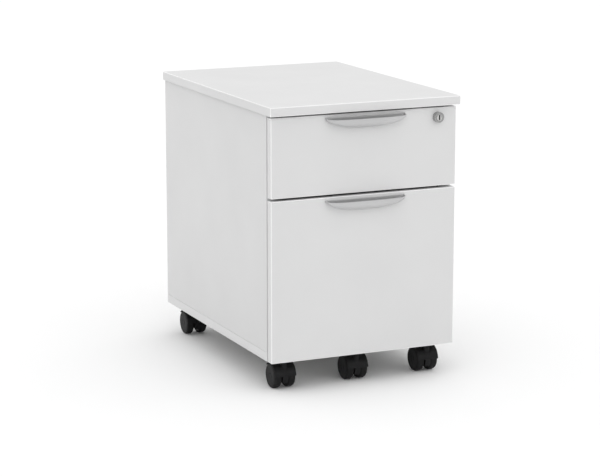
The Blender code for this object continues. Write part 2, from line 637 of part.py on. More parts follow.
def plate_mesh(kingpin):
    """A corner caster's mounting plate with its kingpin."""
    half = PLATE_SIDE / 2
    outline = []
    for quarter, (side_x, side_y) in enumerate(((1, 1), (-1, 1), (-1, -1), (1, -1))):
        centre = (side_x * (half - PLATE_CORNER), side_y * (half - PLATE_CORNER))
        outline += arc(centre, PLATE_CORNER, 90 * quarter, 90 * (quarter + 1), CORNER_STEPS)
    plate = prism(outline, PLATE_Z, PLATE_TOP_Z, "Z")
    return combined(plate, ("UNION", kingpin))


def bracket_mesh(kingpin):
    """The anti-tip caster's steel angle: a foot under the case and an upstand on the drawer front."""
    half = BRACKET_WIDTH / 2
    foot_end = FRONT_CASTER_Y + PLATE_SIDE / 2
    outline = [
        (BRACKET_Y, PLATE_Z),
        (foot_end, PLATE_Z),
        (foot_end, PLATE_TOP_Z),
        (BRACKET_Y + PLATE_THICKNESS, PLATE_TOP_Z),
        (BRACKET_Y + PLATE_THICKNESS, UNDERSIDE_Z + BRACKET_UPSTAND),
        (BRACKET_Y, UNDERSIDE_Z + BRACKET_UPSTAND),
    ]
    angle = prism(outline, -half, half, "X")
    kingpin.transform(Matrix.Translation((0, FRONT_CASTER_Y, 0)))
    return combined(angle, ("UNION", kingpin))


def make_casters(file_drawer):
    """Four corner casters under the case, and the anti-tip caster under the file drawer's front."""
    spread = HALF_WIDTH - CASTER_INSET
    front_y = FRONT_CASTER_Y
    rear_y = BACK_Y - REAR_CASTER_SETBACK
    kingpin = prism(disc((0, 0), KINGPIN_RADIUS), PLATE_Z - KINGPIN_LENGTH, PLATE_TOP_Z - SEAM, "Z")
    bracket = bracket_mesh(kingpin.copy())
    plate = plate_mesh(kingpin)
    hood = hood_mesh()
    right_wheel = wheel_mesh()
    left_wheel = right_wheel.copy()
    left_wheel.transform(Matrix.Scale(-1, 4, (1, 0, 0)))
    left_wheel.flip_normals()
    axle_half = BORE_END - AXLE_END_PLAY
    axle = prism(disc((0, 0), AXLE_RADIUS), -axle_half, axle_half, "X")

    places = {
        "front_left_caster": (-spread, front_y),
        "front_right_caster": (spread, front_y),
        "rear_left_caster": (-spread, rear_y),
        "rear_right_caster": (spread, rear_y),
        "anti_tip_caster": (0, front_y),
    }
    for name, (x, y) in places.items():
        if name == "anti_tip_caster":
            add(f"{name}_bracket", bracket, zinc, file_drawer)
            swivel = pivot(f"{name}_swivel", (x, y, PLATE_Z), file_drawer)
        else:
            add(f"{name}_plate", plate, zinc, None, (x, y, 0))
            swivel = pivot(f"{name}_swivel", (x, y, PLATE_Z))
        axle_at = (x, y + CASTER_TRAIL, WHEEL_RADIUS)
        add(f"{name}_hood", hood, black, swivel, axle_at)
        add(f"{name}_axle", axle, zinc, swivel, axle_at)
        for word, mesh in (("left", left_wheel), ("right", right_wheel)):
            rolling = pivot(f"{name}_roll_{word}", axle_at, swivel)
            add(f"{name}_wheel_{word}", mesh, black, rolling, axle_at)


clear_scene()
white = paint("white_board", (0.80, 0.80, 0.80), 0.45)
drawer_white = paint("drawer_board", (0.76, 0.76, 0.76), 0.5)
zinc = paint("zinc_steel", (0.62, 0.63, 0.65), 0.35, 1.0)
nickel = paint("nickel_plate", (0.60, 0.59, 0.57), 0.25, 1.0)
satin = paint("satin_silver", (0.62, 0.62, 0.63), 0.35, 0.9)
black = paint("black_nylon", (0.02, 0.02, 0.02), 0.45)

make_case()
make_box_drawer()
make_lock_bar()
make_casters(make_file_drawer())
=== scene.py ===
# %% [markdown]
# # A rolling pedestal cabinet
# A white boarded case holds a shallow drawer over a deep one for hanging files. It stands on four
# twin-wheel casters, and a fifth one under the deep drawer's front keeps it from tipping.
# The CAD frame gives every place and size, so this script only adds what the eye sees: rounded
# boards with banded edges, rolled steel, turned metal, moulded nylon, and a finish for each.

# %% Load the frame
import math

import bmesh
import bpy
from mathutils import Matrix, Vector


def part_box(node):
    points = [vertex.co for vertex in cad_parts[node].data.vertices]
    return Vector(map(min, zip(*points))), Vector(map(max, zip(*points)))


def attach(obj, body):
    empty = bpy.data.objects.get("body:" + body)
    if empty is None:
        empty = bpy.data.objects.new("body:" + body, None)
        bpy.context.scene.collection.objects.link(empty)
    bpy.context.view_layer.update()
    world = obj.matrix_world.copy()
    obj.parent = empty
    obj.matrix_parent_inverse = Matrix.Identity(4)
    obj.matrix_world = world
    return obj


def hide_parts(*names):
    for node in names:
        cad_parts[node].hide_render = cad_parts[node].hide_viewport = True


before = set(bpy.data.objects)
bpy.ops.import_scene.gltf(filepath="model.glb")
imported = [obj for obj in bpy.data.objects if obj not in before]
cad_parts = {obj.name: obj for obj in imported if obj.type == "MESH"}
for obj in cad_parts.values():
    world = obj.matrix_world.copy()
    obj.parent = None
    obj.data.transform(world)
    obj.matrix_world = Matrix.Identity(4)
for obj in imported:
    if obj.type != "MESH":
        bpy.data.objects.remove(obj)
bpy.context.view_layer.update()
MM = 0.001

# %% [markdown]
# ## Helpers for shapes
# A finished piece keeps its object at the origin, with its place in its mesh. Each helper starts a
# bmesh from one of Blender's own shapes and hands it on. One function then makes the piece: it
# sets which edges look sharp, gives it its materials, and ties it to the CAD body that carries it.

# %% Shape helpers
SHARP_ABOVE = 28  # degrees: flatter edges are shaded smooth
MERGE = 1e-6  # metres: vertices closer than this are one
CREASE = 1.0  # radians: a sharper turn between faces counts as a rim
AXES = {"X": 0, "Y": 1, "Z": 2}


def stand_at(point, facing):
    """The matrix that turns +Z to the facing direction and moves the origin to the point."""
    turn = Vector((0, 0, 1)).rotation_difference(Vector(facing)).to_matrix().to_4x4()
    return Matrix.Translation(point) @ turn


def verts_in(items):
    """The vertices among the things that an operator returned."""
    return [item for item in items if isinstance(item, bmesh.types.BMVert)]


def plane_cut(bm, normal, point=(0, 0, 0), **settings):
    """Cut every face that the plane crosses."""
    geom = bm.verts[:] + bm.edges[:] + bm.faces[:]
    bmesh.ops.bisect_plane(bm, geom=geom, plane_co=point, plane_no=normal, **settings)


def soften(bm, edges, radius, segments=3):
    """Round the edges with a bevel."""
    bmesh.ops.bevel(
        bm, geom=edges, offset=radius, segments=segments, affect="EDGES", profile=0.5, material=-1
    )


def slab(low, high, radius=0.0, segments=3):
    """A rectangular block between two corners, with softened edges."""
    low, high = Vector(low), Vector(high)
    bm = bmesh.new()
    place = Matrix.Translation((low + high) / 2) @ Matrix.Diagonal((*(high - low), 1))
    bmesh.ops.create_cube(bm, size=1, matrix=place)
    if radius:
        soften(bm, bm.edges[:], radius, segments)
    return bm


def lathe(profile, centre, facing, steps=48):
    """Points of (radius, height) turned all the way round the facing direction."""
    bm = bmesh.new()
    verts = [bm.verts.new((radius, 0, height)) for radius, height in profile]
    edges = [bm.edges.new(pair) for pair in zip(verts, verts[1:])]
    bmesh.ops.spin(
        bm, geom=verts + edges, angle=math.tau, steps=steps, axis=(0, 0, 1), use_merge=True
    )
    bmesh.ops.remove_doubles(bm, verts=bm.verts, dist=MERGE)
    bmesh.ops.recalc_face_normals(bm, faces=bm.faces)
    bmesh.ops.transform(bm, matrix=stand_at(centre, facing), verts=bm.verts)
    return bm


def round_cutter(radius, near, far, centre):
    """A round bar along +Y, to bore a hole with."""
    return lathe([(0, near), (radius, near), (radius, far), (0, far)], centre, (0, 1, 0))


def strip(outline, start, end, fold=0.0):
    """A closed outline of (X, Z) points drawn along Y, with its folds rounded."""
    bm = bmesh.new()
    face = bm.faces.new([bm.verts.new((x, start, z)) for x, z in outline])
    drawn = bmesh.ops.extrude_face_region(bm, geom=[face])["geom"]
    bmesh.ops.translate(bm, vec=(0, end - start, 0), verts=verts_in(drawn))
    bmesh.ops.recalc_face_normals(bm, faces=bm.faces)
    if fold:
        # Only the edges along Y are folds: those of the outline itself stay crisp
        long = [e for e in bm.edges if abs(e.verts[0].co.y - e.verts[1].co.y) > fold * 4]
        soften(bm, long, fold, 2)
    return bm


def join(bm, other, material=None):
    """Add another bmesh's faces to this one, and free the other."""
    if material is not None:
        for face in other.faces:
            face.material_index = material
    mesh = bpy.data.meshes.new("joined")
    other.to_mesh(mesh)
    other.free()
    bm.from_mesh(mesh)
    bpy.data.meshes.remove(mesh)
    return bm


def carve(bm, cutter):
    """Cut one bmesh's shape out of the other, with an exact Boolean."""
    objects = []
    for source in (bm, cutter):
        mesh = bpy.data.meshes.new("carve")
        source.to_mesh(mesh)
        source.free()
        objects.append(bpy.data.objects.new("carve", mesh))
        bpy.context.collection.objects.link(objects[-1])
    body, tool = objects
    cut = body.modifiers.new("cut", "BOOLEAN")
    cut.operation, cut.solver, cut.object = "DIFFERENCE", "EXACT", tool
    graph = bpy.context.evaluated_depsgraph_get()
    carved = bmesh.new()
    carved.from_object(body, graph)
    for item in objects:
        bpy.data.objects.remove(item, do_unlink=True)
    return carved


def piece(name, bm, finishes, body, stands_for=(), sharp=SHARP_ABOVE):
    """Turn a bmesh into a named piece that rides on a CAD body."""
    mesh = bpy.data.meshes.new(name)
    bm.to_mesh(mesh)
    bm.free()
    for finish in finishes:
        mesh.materials.append(finish)
    mesh.shade_smooth()
    mesh.set_sharp_from_angle(angle=math.radians(sharp))
    made = bpy.data.objects.new(name, mesh)
    bpy.context.collection.objects.link(made)
    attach(made, body)
    if stands_for:
        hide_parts(*stands_for)
    return made


# %% [markdown]
# ## Helpers for finishes
# A finish is a Principled BSDF fed by a few patterns. Patterns that several finishes share are
# node groups: each is built once, with named inputs, and gives out only masks and heights.

# %% Node helpers
def put(tree, kind, sockets=None, **settings):
    """Add a shader node, set or link its inputs, and return it."""
    node = tree.nodes.new("ShaderNode" + kind)
    for key, value in settings.items():
        setattr(node, key, value)
    for key, value in (sockets or {}).items():
        if isinstance(value, bpy.types.NodeSocket):
            tree.links.new(value, node.inputs[key])
        else:
            node.inputs[key].default_value = value
    return node


def sums(tree, operation, first, second):
    """The result of one Math node."""
    return put(tree, "Math", {0: first, 1: second}, operation=operation).outputs[0]


def spread(tree, value, low, high, to_low=0.0, to_high=1.0):
    """Stretch a value's range from low..high onto another one, and clamp it."""
    return put(tree, "MapRange", {0: value, 1: low, 2: high, 3: to_low, 4: to_high}).outputs[0]


def mixed(tree, mask, first, second):
    """A colour that runs from the first to the second as the mask rises."""
    node = put(tree, "Mix", {0: mask}, data_type="RGBA")
    for index, value in ((6, first), (7, second)):  # the Mix node's two colour inputs
        if isinstance(value, bpy.types.NodeSocket):
            tree.links.new(value, node.inputs[index])
        else:
            node.inputs[index].default_value = (*value, 1)
    return node.outputs[2]


def pattern_group(name, inputs, outputs):
    """An empty node group with float or vector inputs and float outputs."""
    tree = bpy.data.node_groups.new(name, "ShaderNodeTree")
    for label, value in inputs.items():
        kind = "NodeSocketVector" if isinstance(value, tuple) else "NodeSocketFloat"
        tree.interface.new_socket(label, in_out="INPUT", socket_type=kind).default_value = value
    for label in outputs:
        tree.interface.new_socket(label, in_out="OUTPUT", socket_type="NodeSocketFloat")
    return tree, tree.nodes.new("NodeGroupInput").outputs, tree.nodes.new("NodeGroupOutput").inputs


def use(tree, group, sockets=None):
    """Place a node group in a material, with its own values, and return its outputs."""
    node = tree.nodes.new("ShaderNodeGroup")
    node.node_tree = group
    for key, value in (sockets or {}).items():
        node.inputs[key].default_value = value
    return node.outputs


# %% [markdown]
# ### Pebbled skin
# Pressed boards, foils and mouldings carry a fine pebbled skin from the plate or tool that made
# them. Two sizes of noise give its height, and a slow noise gives the faint unevenness of tone
# that keeps a large plain face from looking like paper.

# %% Pebbled skin
def make_pebbled_skin():
    """Height of the pebbles, slow clouds of tone, and flecks on the highest pebbles."""
    tree, given, out = pattern_group(
        "Pebbled skin", {"Pebbles per metre": 900.0, "Clouds per metre": 6.0}, ("Height", "Cloud", "Fleck")
    )
    place = put(tree, "TexCoord").outputs["Object"]
    fine = put(tree, "TexNoise", {"Vector": place, "Scale": given[0], "Detail": 2.0}).outputs[0]
    coarse = sums(tree, "MULTIPLY", given[0], 0.37)
    broad = put(tree, "TexNoise", {"Vector": place, "Scale": coarse, "Detail": 1.0}).outputs[0]
    height = sums(tree, "ADD", sums(tree, "MULTIPLY", fine, 0.6), sums(tree, "MULTIPLY", broad, 0.4))
    tree.links.new(height, out["Height"])
    cloud = put(tree, "TexNoise", {"Vector": place, "Scale": given[1], "Detail": 3.0}).outputs[0]
    tree.links.new(spread(tree, cloud, 0.3, 0.7), out["Cloud"])
    tree.links.new(spread(tree, fine, 0.62, 0.78), out["Fleck"])
    return tree


pebbled_skin = make_pebbled_skin()

# %% [markdown]
# ### Brushed streaks
# Rolled, drawn and brushed metal carries streaks along the way it was worked. The place is
# squeezed along that way before it reaches the noise, so the noise is drawn out into lines.

# %% Brushed streaks
def make_brushed_streaks():
    """Height and mask of the drawn-out lines."""
    tree, given, out = pattern_group(
        "Brushed streaks", {"Lines per metre": (30.0, 1500.0, 1500.0)}, ("Height", "Streak")
    )
    place = put(tree, "TexCoord").outputs["Object"]
    squeezed = put(tree, "VectorMath", {0: place, 1: given[0]}, operation="MULTIPLY").outputs[0]
    lines = put(tree, "TexNoise", {"Vector": squeezed, "Scale": 1.0, "Detail": 3.0}).outputs[0]
    tree.links.new(lines, out["Height"])
    tree.links.new(spread(tree, lines, 0.35, 0.65), out["Streak"])
    return tree


brushed_streaks = make_brushed_streaks()

# %% [markdown]
# ### Rubs and dust
# Handling leaves thin rubs, and dust settles on what faces up. A stretched noise cut to a narrow
# band gives the rubs. The surface's own upward tilt, broken up by a soft noise, gives the dust.

# %% Rubs and dust
RUB_STRETCH = (1.0, 0.6, 9.0)  # rubs are longest along Y and thinnest along Z
RUB_HALF_WIDTH = 0.012  # the band of noise values about a half that shows as a rub
RUB_PATCHES = 23.0  # patches per metre where rubs gather


def make_rubs():
    """A mask of thin rubs that gather in patches."""
    tree, given, out = pattern_group("Rubs", {"Rubs per metre": 40.0, "Share": 0.5}, ("Mask",))
    place = put(tree, "TexCoord").outputs["Object"]
    drawn_out = put(tree, "VectorMath", {0: place, 1: RUB_STRETCH}, operation="MULTIPLY").outputs[0]
    thin = put(tree, "TexNoise", {"Vector": drawn_out, "Scale": given[0], "Detail": 4.0}).outputs[0]
    near_half = sums(tree, "ABSOLUTE", sums(tree, "SUBTRACT", thin, 0.5), 0.0)
    line = spread(tree, near_half, 0.0, RUB_HALF_WIDTH, 1.0, 0.0)
    where = put(tree, "TexNoise", {"Vector": place, "Scale": RUB_PATCHES, "Detail": 2.0}).outputs[0]
    patch = spread(tree, sums(tree, "ADD", where, given["Share"]), 0.95, 1.15)
    tree.links.new(sums(tree, "MULTIPLY", line, patch), out["Mask"])
    return tree


def make_dust():
    """A patchy mask of the faces that look up."""
    tree, given, out = pattern_group("Dust", {"Patches per metre": 60.0}, ("Mask",))
    up = put(tree, "SeparateXYZ", {0: put(tree, "NewGeometry").outputs["Normal"]}).outputs[2]
    place = put(tree, "TexCoord").outputs["Object"]
    patch = put(tree, "TexNoise", {"Vector": place, "Scale": given[0], "Detail": 4.0}).outputs[0]
    settled = sums(tree, "MULTIPLY", spread(tree, up, 0.3, 1.0), spread(tree, patch, 0.35, 0.75))
    tree.links.new(settled, out["Mask"])
    return tree


rubs = make_rubs()
dust = make_dust()
print("pattern groups:", ", ".join(sorted(group.name for group in bpy.data.node_groups)))


# %% A finish
def finish(name, **uniform):
    """A new material: its tree, and its Principled shader with the uniform values set on it."""
    material = bpy.data.materials.new(name)
    material.use_nodes = True
    tree = material.node_tree
    shader = tree.nodes["Principled BSDF"]
    for label, value in uniform.items():
        shader.inputs[label.replace("_", " ").title().replace("Ior", "IOR")].default_value = value
    return material, tree, shader


def bumped(tree, shader, height, depth, strength=1.0):
    """Feed a height to the shader's normal. The depth is in metres."""
    bump = put(tree, "Bump", {"Height": height, "Distance": depth, "Strength": strength})
    tree.links.new(bump.outputs[0], shader.inputs["Normal"])


# %% [markdown]
# ## White boards
# The case and fronts are chipboard pressed with white melamine paper. The skin is matt, finely
# pebbled and slightly uneven in tone. Plastic band covers the cut edges: it is smoother than the
# faces, and its rounded arrises are buffed smoother still. Those that turn up or to the front also
# get a paler colour, a painted highlight that draws them as thin bright lines. The mesh marks
# these arris faces with an attribute named "arris", which the finish reads.

# %% White board finishes
BOARD_WHITE = (0.700, 0.700, 0.700)
BOARD_SHADE = (0.680, 0.680, 0.681)
# A paler colour for the marked arrises: a painted highlight.
ARRIS_PAINTED_HIGHLIGHT = (0.88, 0.88, 0.88)
FLECK_SHARE = 0.25
ARRIS_BUFFING = 0.15  # how much smoother the buffed arrises are


def board_finish(name, tone, shade, roughness, pebble, depth):
    """Pressed or banded board: two close tones, flecks, and smoother arrises with a painted highlight."""
    material, tree, shader = finish(name, specular_ior_level=0.35)
    skin = use(tree, pebbled_skin, {"Pebbles per metre": pebble, "Clouds per metre": 7.0})
    face = mixed(tree, skin["Cloud"], tone, shade)
    flecked = mixed(tree, sums(tree, "MULTIPLY", skin["Fleck"], FLECK_SHARE), face, shade)
    arris = put(tree, "Attribute", attribute_name="arris").outputs["Fac"]
    # The marked arrises take the paler colour: a painted highlight.
    tree.links.new(mixed(tree, arris, flecked, ARRIS_PAINTED_HIGHLIGHT), shader.inputs["Base Color"])
    uneven = spread(tree, skin["Cloud"], 0.0, 1.0, roughness, roughness + 0.06)
    buffed = sums(tree, "SUBTRACT", uneven, sums(tree, "MULTIPLY", arris, ARRIS_BUFFING))
    tree.links.new(buffed, shader.inputs["Roughness"])
    bumped(tree, shader, skin["Height"], depth)
    return material


melamine = board_finish("white melamine", BOARD_WHITE, BOARD_SHADE, 0.48, 850.0, 0.05 * MM)
edge_band = board_finish("white edge band", BOARD_WHITE, BOARD_SHADE, 0.40, 1400.0, 0.02 * MM)
# Grey paper under the bottom board: painted shade, which deepens the shadow under the case.
painted_shade_underside = board_finish("grey underside, painted shade", (0.36, 0.36, 0.355), (0.32, 0.32, 0.315), 0.6, 500.0, 0.05 * MM)
foil = board_finish("white drawer foil", (0.70, 0.70, 0.70), (0.67, 0.67, 0.675), 0.42, 1100.0, 0.03 * MM)
print("board finishes:", ", ".join(made.name for made in (melamine, edge_band, painted_shade_underside, foil)))

# %% [markdown]
# ## Metals
# Slides, rails, screws and brackets are rolled steel under bright zinc, which goes faintly blue
# and yellow in patches. The pulls are cast zinc under satin silver lacquer. The lock is satin
# nickel. Each is a metallic shader with streaks or grain in its roughness.

# %% Metal finishes
def zinc_finish(name, lines):
    """Zinc plate in two tones, dulled by dust where the streaks are low."""
    material, tree, shader = finish(name, metallic=1.0)
    streaks = use(tree, brushed_streaks, {"Lines per metre": lines})
    skin = use(tree, pebbled_skin, {"Pebbles per metre": 300.0, "Clouds per metre": 28.0})
    plated = mixed(tree, skin["Cloud"], (0.60, 0.62, 0.66), (0.66, 0.65, 0.60))
    dull = mixed(tree, use(tree, dust, {"Patches per metre": 80.0})["Mask"], plated, (0.50, 0.49, 0.47))
    tree.links.new(mixed(tree, streaks["Streak"], dull, plated), shader.inputs["Base Color"])
    tree.links.new(spread(tree, streaks["Streak"], 0.0, 1.0, 0.27, 0.42), shader.inputs["Roughness"])
    bumped(tree, shader, streaks["Height"], 0.02 * MM)
    return material


def silver_finish():
    """Silver lacquer with fine flake and a few bright rubs."""
    material, tree, shader = finish("satin silver", metallic=0.45, coat_roughness=0.4)
    skin = use(tree, pebbled_skin, {"Pebbles per metre": 1600.0, "Clouds per metre": 14.0})
    worn = use(tree, rubs, {"Rubs per metre": 55.0, "Share": 0.42})
    flake = mixed(tree, skin["Cloud"], (0.52, 0.52, 0.523), (0.55, 0.55, 0.553))
    rubbed = mixed(tree, sums(tree, "MULTIPLY", worn["Mask"], 0.3), flake, (0.66, 0.66, 0.66))
    tree.links.new(rubbed, shader.inputs["Base Color"])
    tree.links.new(spread(tree, skin["Height"], 0.3, 0.7, 0.36, 0.46), shader.inputs["Roughness"])
    tree.links.new(spread(tree, skin["Cloud"], 0.0, 1.0, 0.15, 0.3), shader.inputs["Coat Weight"])
    bumped(tree, shader, skin["Height"], 0.02 * MM)
    return material


def nickel_finish(name, low, high):
    """Nickel with fine lines between two tones, and paler rubs."""
    material, tree, shader = finish(name, metallic=1.0)
    streaks = use(tree, brushed_streaks, {"Lines per metre": (900.0, 60.0, 900.0)})
    worn = use(tree, rubs, {"Rubs per metre": 140.0, "Share": 0.5})
    plated = mixed(tree, streaks["Streak"], low, high)
    tree.links.new(mixed(tree, worn["Mask"], plated, (0.75, 0.745, 0.735)), shader.inputs["Base Color"])
    tree.links.new(spread(tree, streaks["Streak"], 0.0, 1.0, 0.24, 0.34), shader.inputs["Roughness"])
    bumped(tree, shader, streaks["Height"], 0.01 * MM)
    return material


zinc_along = zinc_finish("bright zinc, drawn along Y", (1400.0, 18.0, 1400.0))
zinc_pressed = zinc_finish("bright zinc, pressed", (260.0, 260.0, 260.0))
silver = silver_finish()
nickel = nickel_finish("satin nickel", (0.52, 0.518, 0.51), (0.60, 0.598, 0.59))
dark_nickel = nickel_finish("aged nickel", (0.33, 0.33, 0.328), (0.41, 0.41, 0.405))

# %% [markdown]
# ## Plastics
# Hoods and wheels are black glass-filled nylon with a spark-eroded skin. The treads pick up grey
# dust and fine rubs where they roll. Bumpers behind the fronts are soft clear plastic.

# %% Plastic finishes
DUST_TONE = (0.2, 0.19, 0.18)
DUST_SHARE = 0.06
SCUFF_SHARE = 0.5
CLOUD_LIFT = 1.25  # how much paler the clouds are than the plain tone


def nylon_finish(name, tone, scuffed, roughness, rub_share):
    """Black moulded nylon with clouds of tone, scuffs and settled dust."""
    material, tree, shader = finish(name, specular_ior_level=0.17)
    skin = use(tree, pebbled_skin, {"Pebbles per metre": 1300.0, "Clouds per metre": 45.0})
    worn = use(tree, rubs, {"Rubs per metre": 70.0, "Share": rub_share})
    settled = use(tree, dust, {"Patches per metre": 140.0})
    clean = mixed(tree, skin["Cloud"], tone, tuple(value * CLOUD_LIFT for value in tone))
    rubbed = mixed(tree, sums(tree, "MULTIPLY", worn["Mask"], SCUFF_SHARE), clean, scuffed)
    dusty = mixed(tree, sums(tree, "MULTIPLY", settled["Mask"], DUST_SHARE), rubbed, DUST_TONE)
    tree.links.new(dusty, shader.inputs["Base Color"])
    sheen = spread(tree, skin["Height"], 0.3, 0.7, roughness, roughness + 0.1)
    tree.links.new(sheen, shader.inputs["Roughness"])
    bumped(tree, shader, skin["Height"], 0.06 * MM)
    return material


def clear_finish():
    """Soft clear plastic with a milky tone."""
    material, tree, shader = finish("clear bumper", ior=1.45)
    skin = use(tree, pebbled_skin, {"Pebbles per metre": 700.0, "Clouds per metre": 200.0})
    milky = mixed(tree, skin["Cloud"], (0.70, 0.72, 0.72), (0.78, 0.78, 0.76))
    tree.links.new(milky, shader.inputs["Base Color"])
    tree.links.new(spread(tree, skin["Height"], 0.3, 0.7, 0.2, 0.35), shader.inputs["Roughness"])
    return material


nylon = nylon_finish("black nylon", (0.0085, 0.0085, 0.009), (0.035, 0.035, 0.035), 0.44, 0.38)
tread = nylon_finish("black nylon tread", (0.008, 0.008, 0.0082), (0.05, 0.049, 0.046), 0.55, 0.5)
clear = clear_finish()
print("materials so far:", len(bpy.data.materials))

# %% [markdown]
# ## Boards with banded edges
# A board starts as a cube between its CAD node's corners. Its edges are bevelled to the band's
# rounded arris. Then planes cut it a band's thickness in from each banded edge, and the loop in
# the middle of the three cuts is pushed in a little: that is the hairline where band meets face.

# %% Banded boards
BAND = 2.0 * MM
ARRIS = 1.5 * MM
THIN_BAND = 0.8 * MM
THIN_ARRIS = 0.6 * MM
JOINT = 0.15 * MM  # half the width of the hairline
JOINT_DEPTH = 0.12 * MM
ARRIS_LAYER = "arris"
AXIS_ALIGNED = 0.985  # a face whose normal's largest part is above this is flat
SEEN_TILT = 0.1  # how far a normal leans up or forward before its face is buffed and painted bright
BOARD_SHARP = 20  # degrees: hairlines stay crisp
BAND_SLOT = 1  # places in a board's list of finishes
PAINTED_SHADE_SLOT = 2


def mark_arris(bm, buffed):
    """Mark the rounded faces that turn up or to the front, for smoother roughness and a painted highlight:
    their normal follows no axis.
    """
    layer = bm.faces.layers.float.new(ARRIS_LAYER)
    bm.normal_update()
    for face in bm.faces:
        rounded = max(abs(part) for part in face.normal) < AXIS_ALIGNED
        seen = face.normal.y < -SEEN_TILT or face.normal.z > SEEN_TILT
        face[layer] = float(bool(buffed) and rounded and seen)


def cut_joint(bm, axis, side, edge_at, band, low, high):
    """Cut the hairline beside one banded edge, and give the band its own material."""
    index = AXES[axis]
    normal = Vector([float(axis == name) for name in "XYZ"])
    middle_at = edge_at - side * band
    for shift in (-JOINT, 0, JOINT):
        plane_cut(bm, normal, normal * (middle_at + shift))
    centre = (low + high) / 2
    for vert in bm.verts:
        if abs(vert.co[index] - middle_at) > JOINT / 4:
            continue
        for other in {0, 1, 2} - {index}:
            out = vert.co[other] - centre[other]
            if abs(out) > (high[other] - low[other]) / 2 - JOINT_DEPTH:
                vert.co[other] -= math.copysign(JOINT_DEPTH, out)
    for face in bm.faces:
        if (face.calc_center_median()[index] - middle_at) * side > 0:
            face.material_index = BAND_SLOT


def banded(low, high, banded_edges, band=BAND, arris=ARRIS):
    """A board with rounded edges. Only the thick band's arrises are buffed and get the painted highlight."""
    bm = slab(low, high, arris)
    mark_arris(bm, band == BAND and banded_edges)
    for axis, side in banded_edges:
        edge_at = (high if side > 0 else low)[AXES[axis]]
        cut_joint(bm, axis, side, edge_at, band, low, high)
    return bm


def board(
    node, banded_edges, body="root", cutters=(), skin=melamine, slot="white_board", painted_shade_under=False, **sizes
):
    """Make the board that stands for a CAD node. Where asked, its underside is grey: painted shade that
    deepens the shadow under the case.
    """
    low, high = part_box(node)
    bm = banded(low, high, banded_edges, **sizes)
    for cutter in cutters:
        bm = carve(bm, cutter)
    finishes = [skin, edge_band]
    # The downward faces turn grey: painted shade under the case.
    if painted_shade_under:
        finishes.append(painted_shade_underside)
        bm.normal_update()
        for face in bm.faces:
            if face.normal.z < -AXIS_ALIGNED:
                face.material_index = PAINTED_SHADE_SLOT
    name = node.replace("_panel", "") + "_board"
    return piece(name, bm, finishes, body, [node], sharp=BOARD_SHARP)


# %% [markdown]
# ## The case
# The top covers everything and is banded all round. The bottom runs the full width, with the
# sides standing on it, so its own band shows as a strip along the foot of each side. The right
# side has a groove for the locking bar, and the bottom has a notch for the anti-tip bracket. The
# cutters are plain blocks, taken out with an exact Boolean.

# %% Case boards
top_low, top_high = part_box("top_panel")
bottom_low, bottom_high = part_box("bottom_panel")
left_low, left_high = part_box("side_panel_left")
right_low, right_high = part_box("side_panel_right")
bar_low, bar_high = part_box("lock_bar")
bracket_low, bracket_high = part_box("anti_tip_caster_bracket")
ALL_ROUND = (("Y", -1), ("Y", 1), ("X", -1), ("X", 1))
FRONT_AND_BACK = (("Y", -1), ("Y", 1))
PLAY = 0.5 * MM
GROOVE_DEPTH = 5 * MM
GROOVE_BELOW_BAR = 40 * MM
GROOVE_HEAD = 10 * MM  # the side's upper edge to the groove's end
CASTER_STEEL = 2.4 * MM  # thickness of the casters' plates and bracket
CUT_PAST = 20 * MM  # how far a cutter runs past the board that it cuts

groove = slab(
    (right_low.x - CUT_PAST, bar_low.y - PLAY, bar_low.z - GROOVE_BELOW_BAR),
    (right_low.x + GROOVE_DEPTH, bar_high.y + PLAY, right_high.z - GROOVE_HEAD),
)
notch = slab(
    (bracket_low.x - PLAY, bottom_low.y - CUT_PAST, bottom_low.z - CUT_PAST),
    (bracket_high.x + PLAY, bracket_low.y + CASTER_STEEL + PLAY, bottom_high.z + CUT_PAST),
)
board("top_panel", ALL_ROUND)
# The bottom's underside is grey: painted shade under the case.
board("bottom_panel", ALL_ROUND, cutters=[notch], painted_shade_under=True, band=THIN_BAND, arris=THIN_ARRIS)
board("side_panel_left", FRONT_AND_BACK, band=THIN_BAND, arris=THIN_ARRIS)
board("side_panel_right", FRONT_AND_BACK, cutters=[groove], band=THIN_BAND, arris=THIN_ARRIS)
board("back_panel", (), band=THIN_BAND, arris=THIN_ARRIS)
print("top", [round(1000 * size, 1) for size in top_high - top_low], "mm")

# %% [markdown]
# ## Drawer fronts
# Each front is a full-width board with thick band on all four edges. The upper one is bored for
# the lock's barrel. A turned bar makes the cutter, slightly wider than the barrel.

# %% Drawer fronts
RIM_PAST_BORE = 1.2 * MM  # how far the lock's rim covers the front around its bore
barrel_low, barrel_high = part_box("lock_barrel")
plug_low, plug_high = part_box("lock_plug")
lock_at = (barrel_low + barrel_high) / 2
box_front_low, box_front_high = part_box("box_drawer_front")
file_front_low, file_front_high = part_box("file_drawer_front")
rim_radius = (barrel_high.x - barrel_low.x) / 2
bore_radius = rim_radius - RIM_PAST_BORE
face_y = box_front_low.y
front_back_y = box_front_high.y
FRONT_EDGES = (("X", -1), ("X", 1), ("Z", -1), ("Z", 1))
bore = round_cutter(bore_radius, -CUT_PAST, 2 * CUT_PAST, (lock_at.x, face_y, lock_at.z))
board("box_drawer_front", FRONT_EDGES, "box_drawer", cutters=[bore])
board("file_drawer_front", FRONT_EDGES, "file_drawer")

# %% [markdown]
# ## Pulls
# Each pull is a cast half-moon shell, open along the top for the fingers and closed below, with
# its back flat on the drawer front. A sphere gives the shell: planes cut away its top and back
# halves, then each point slides to a squared half-oval plan that narrows towards the foot. The
# open back is filled, Solidify's operator gives the wall, and a bevel softens the rim.

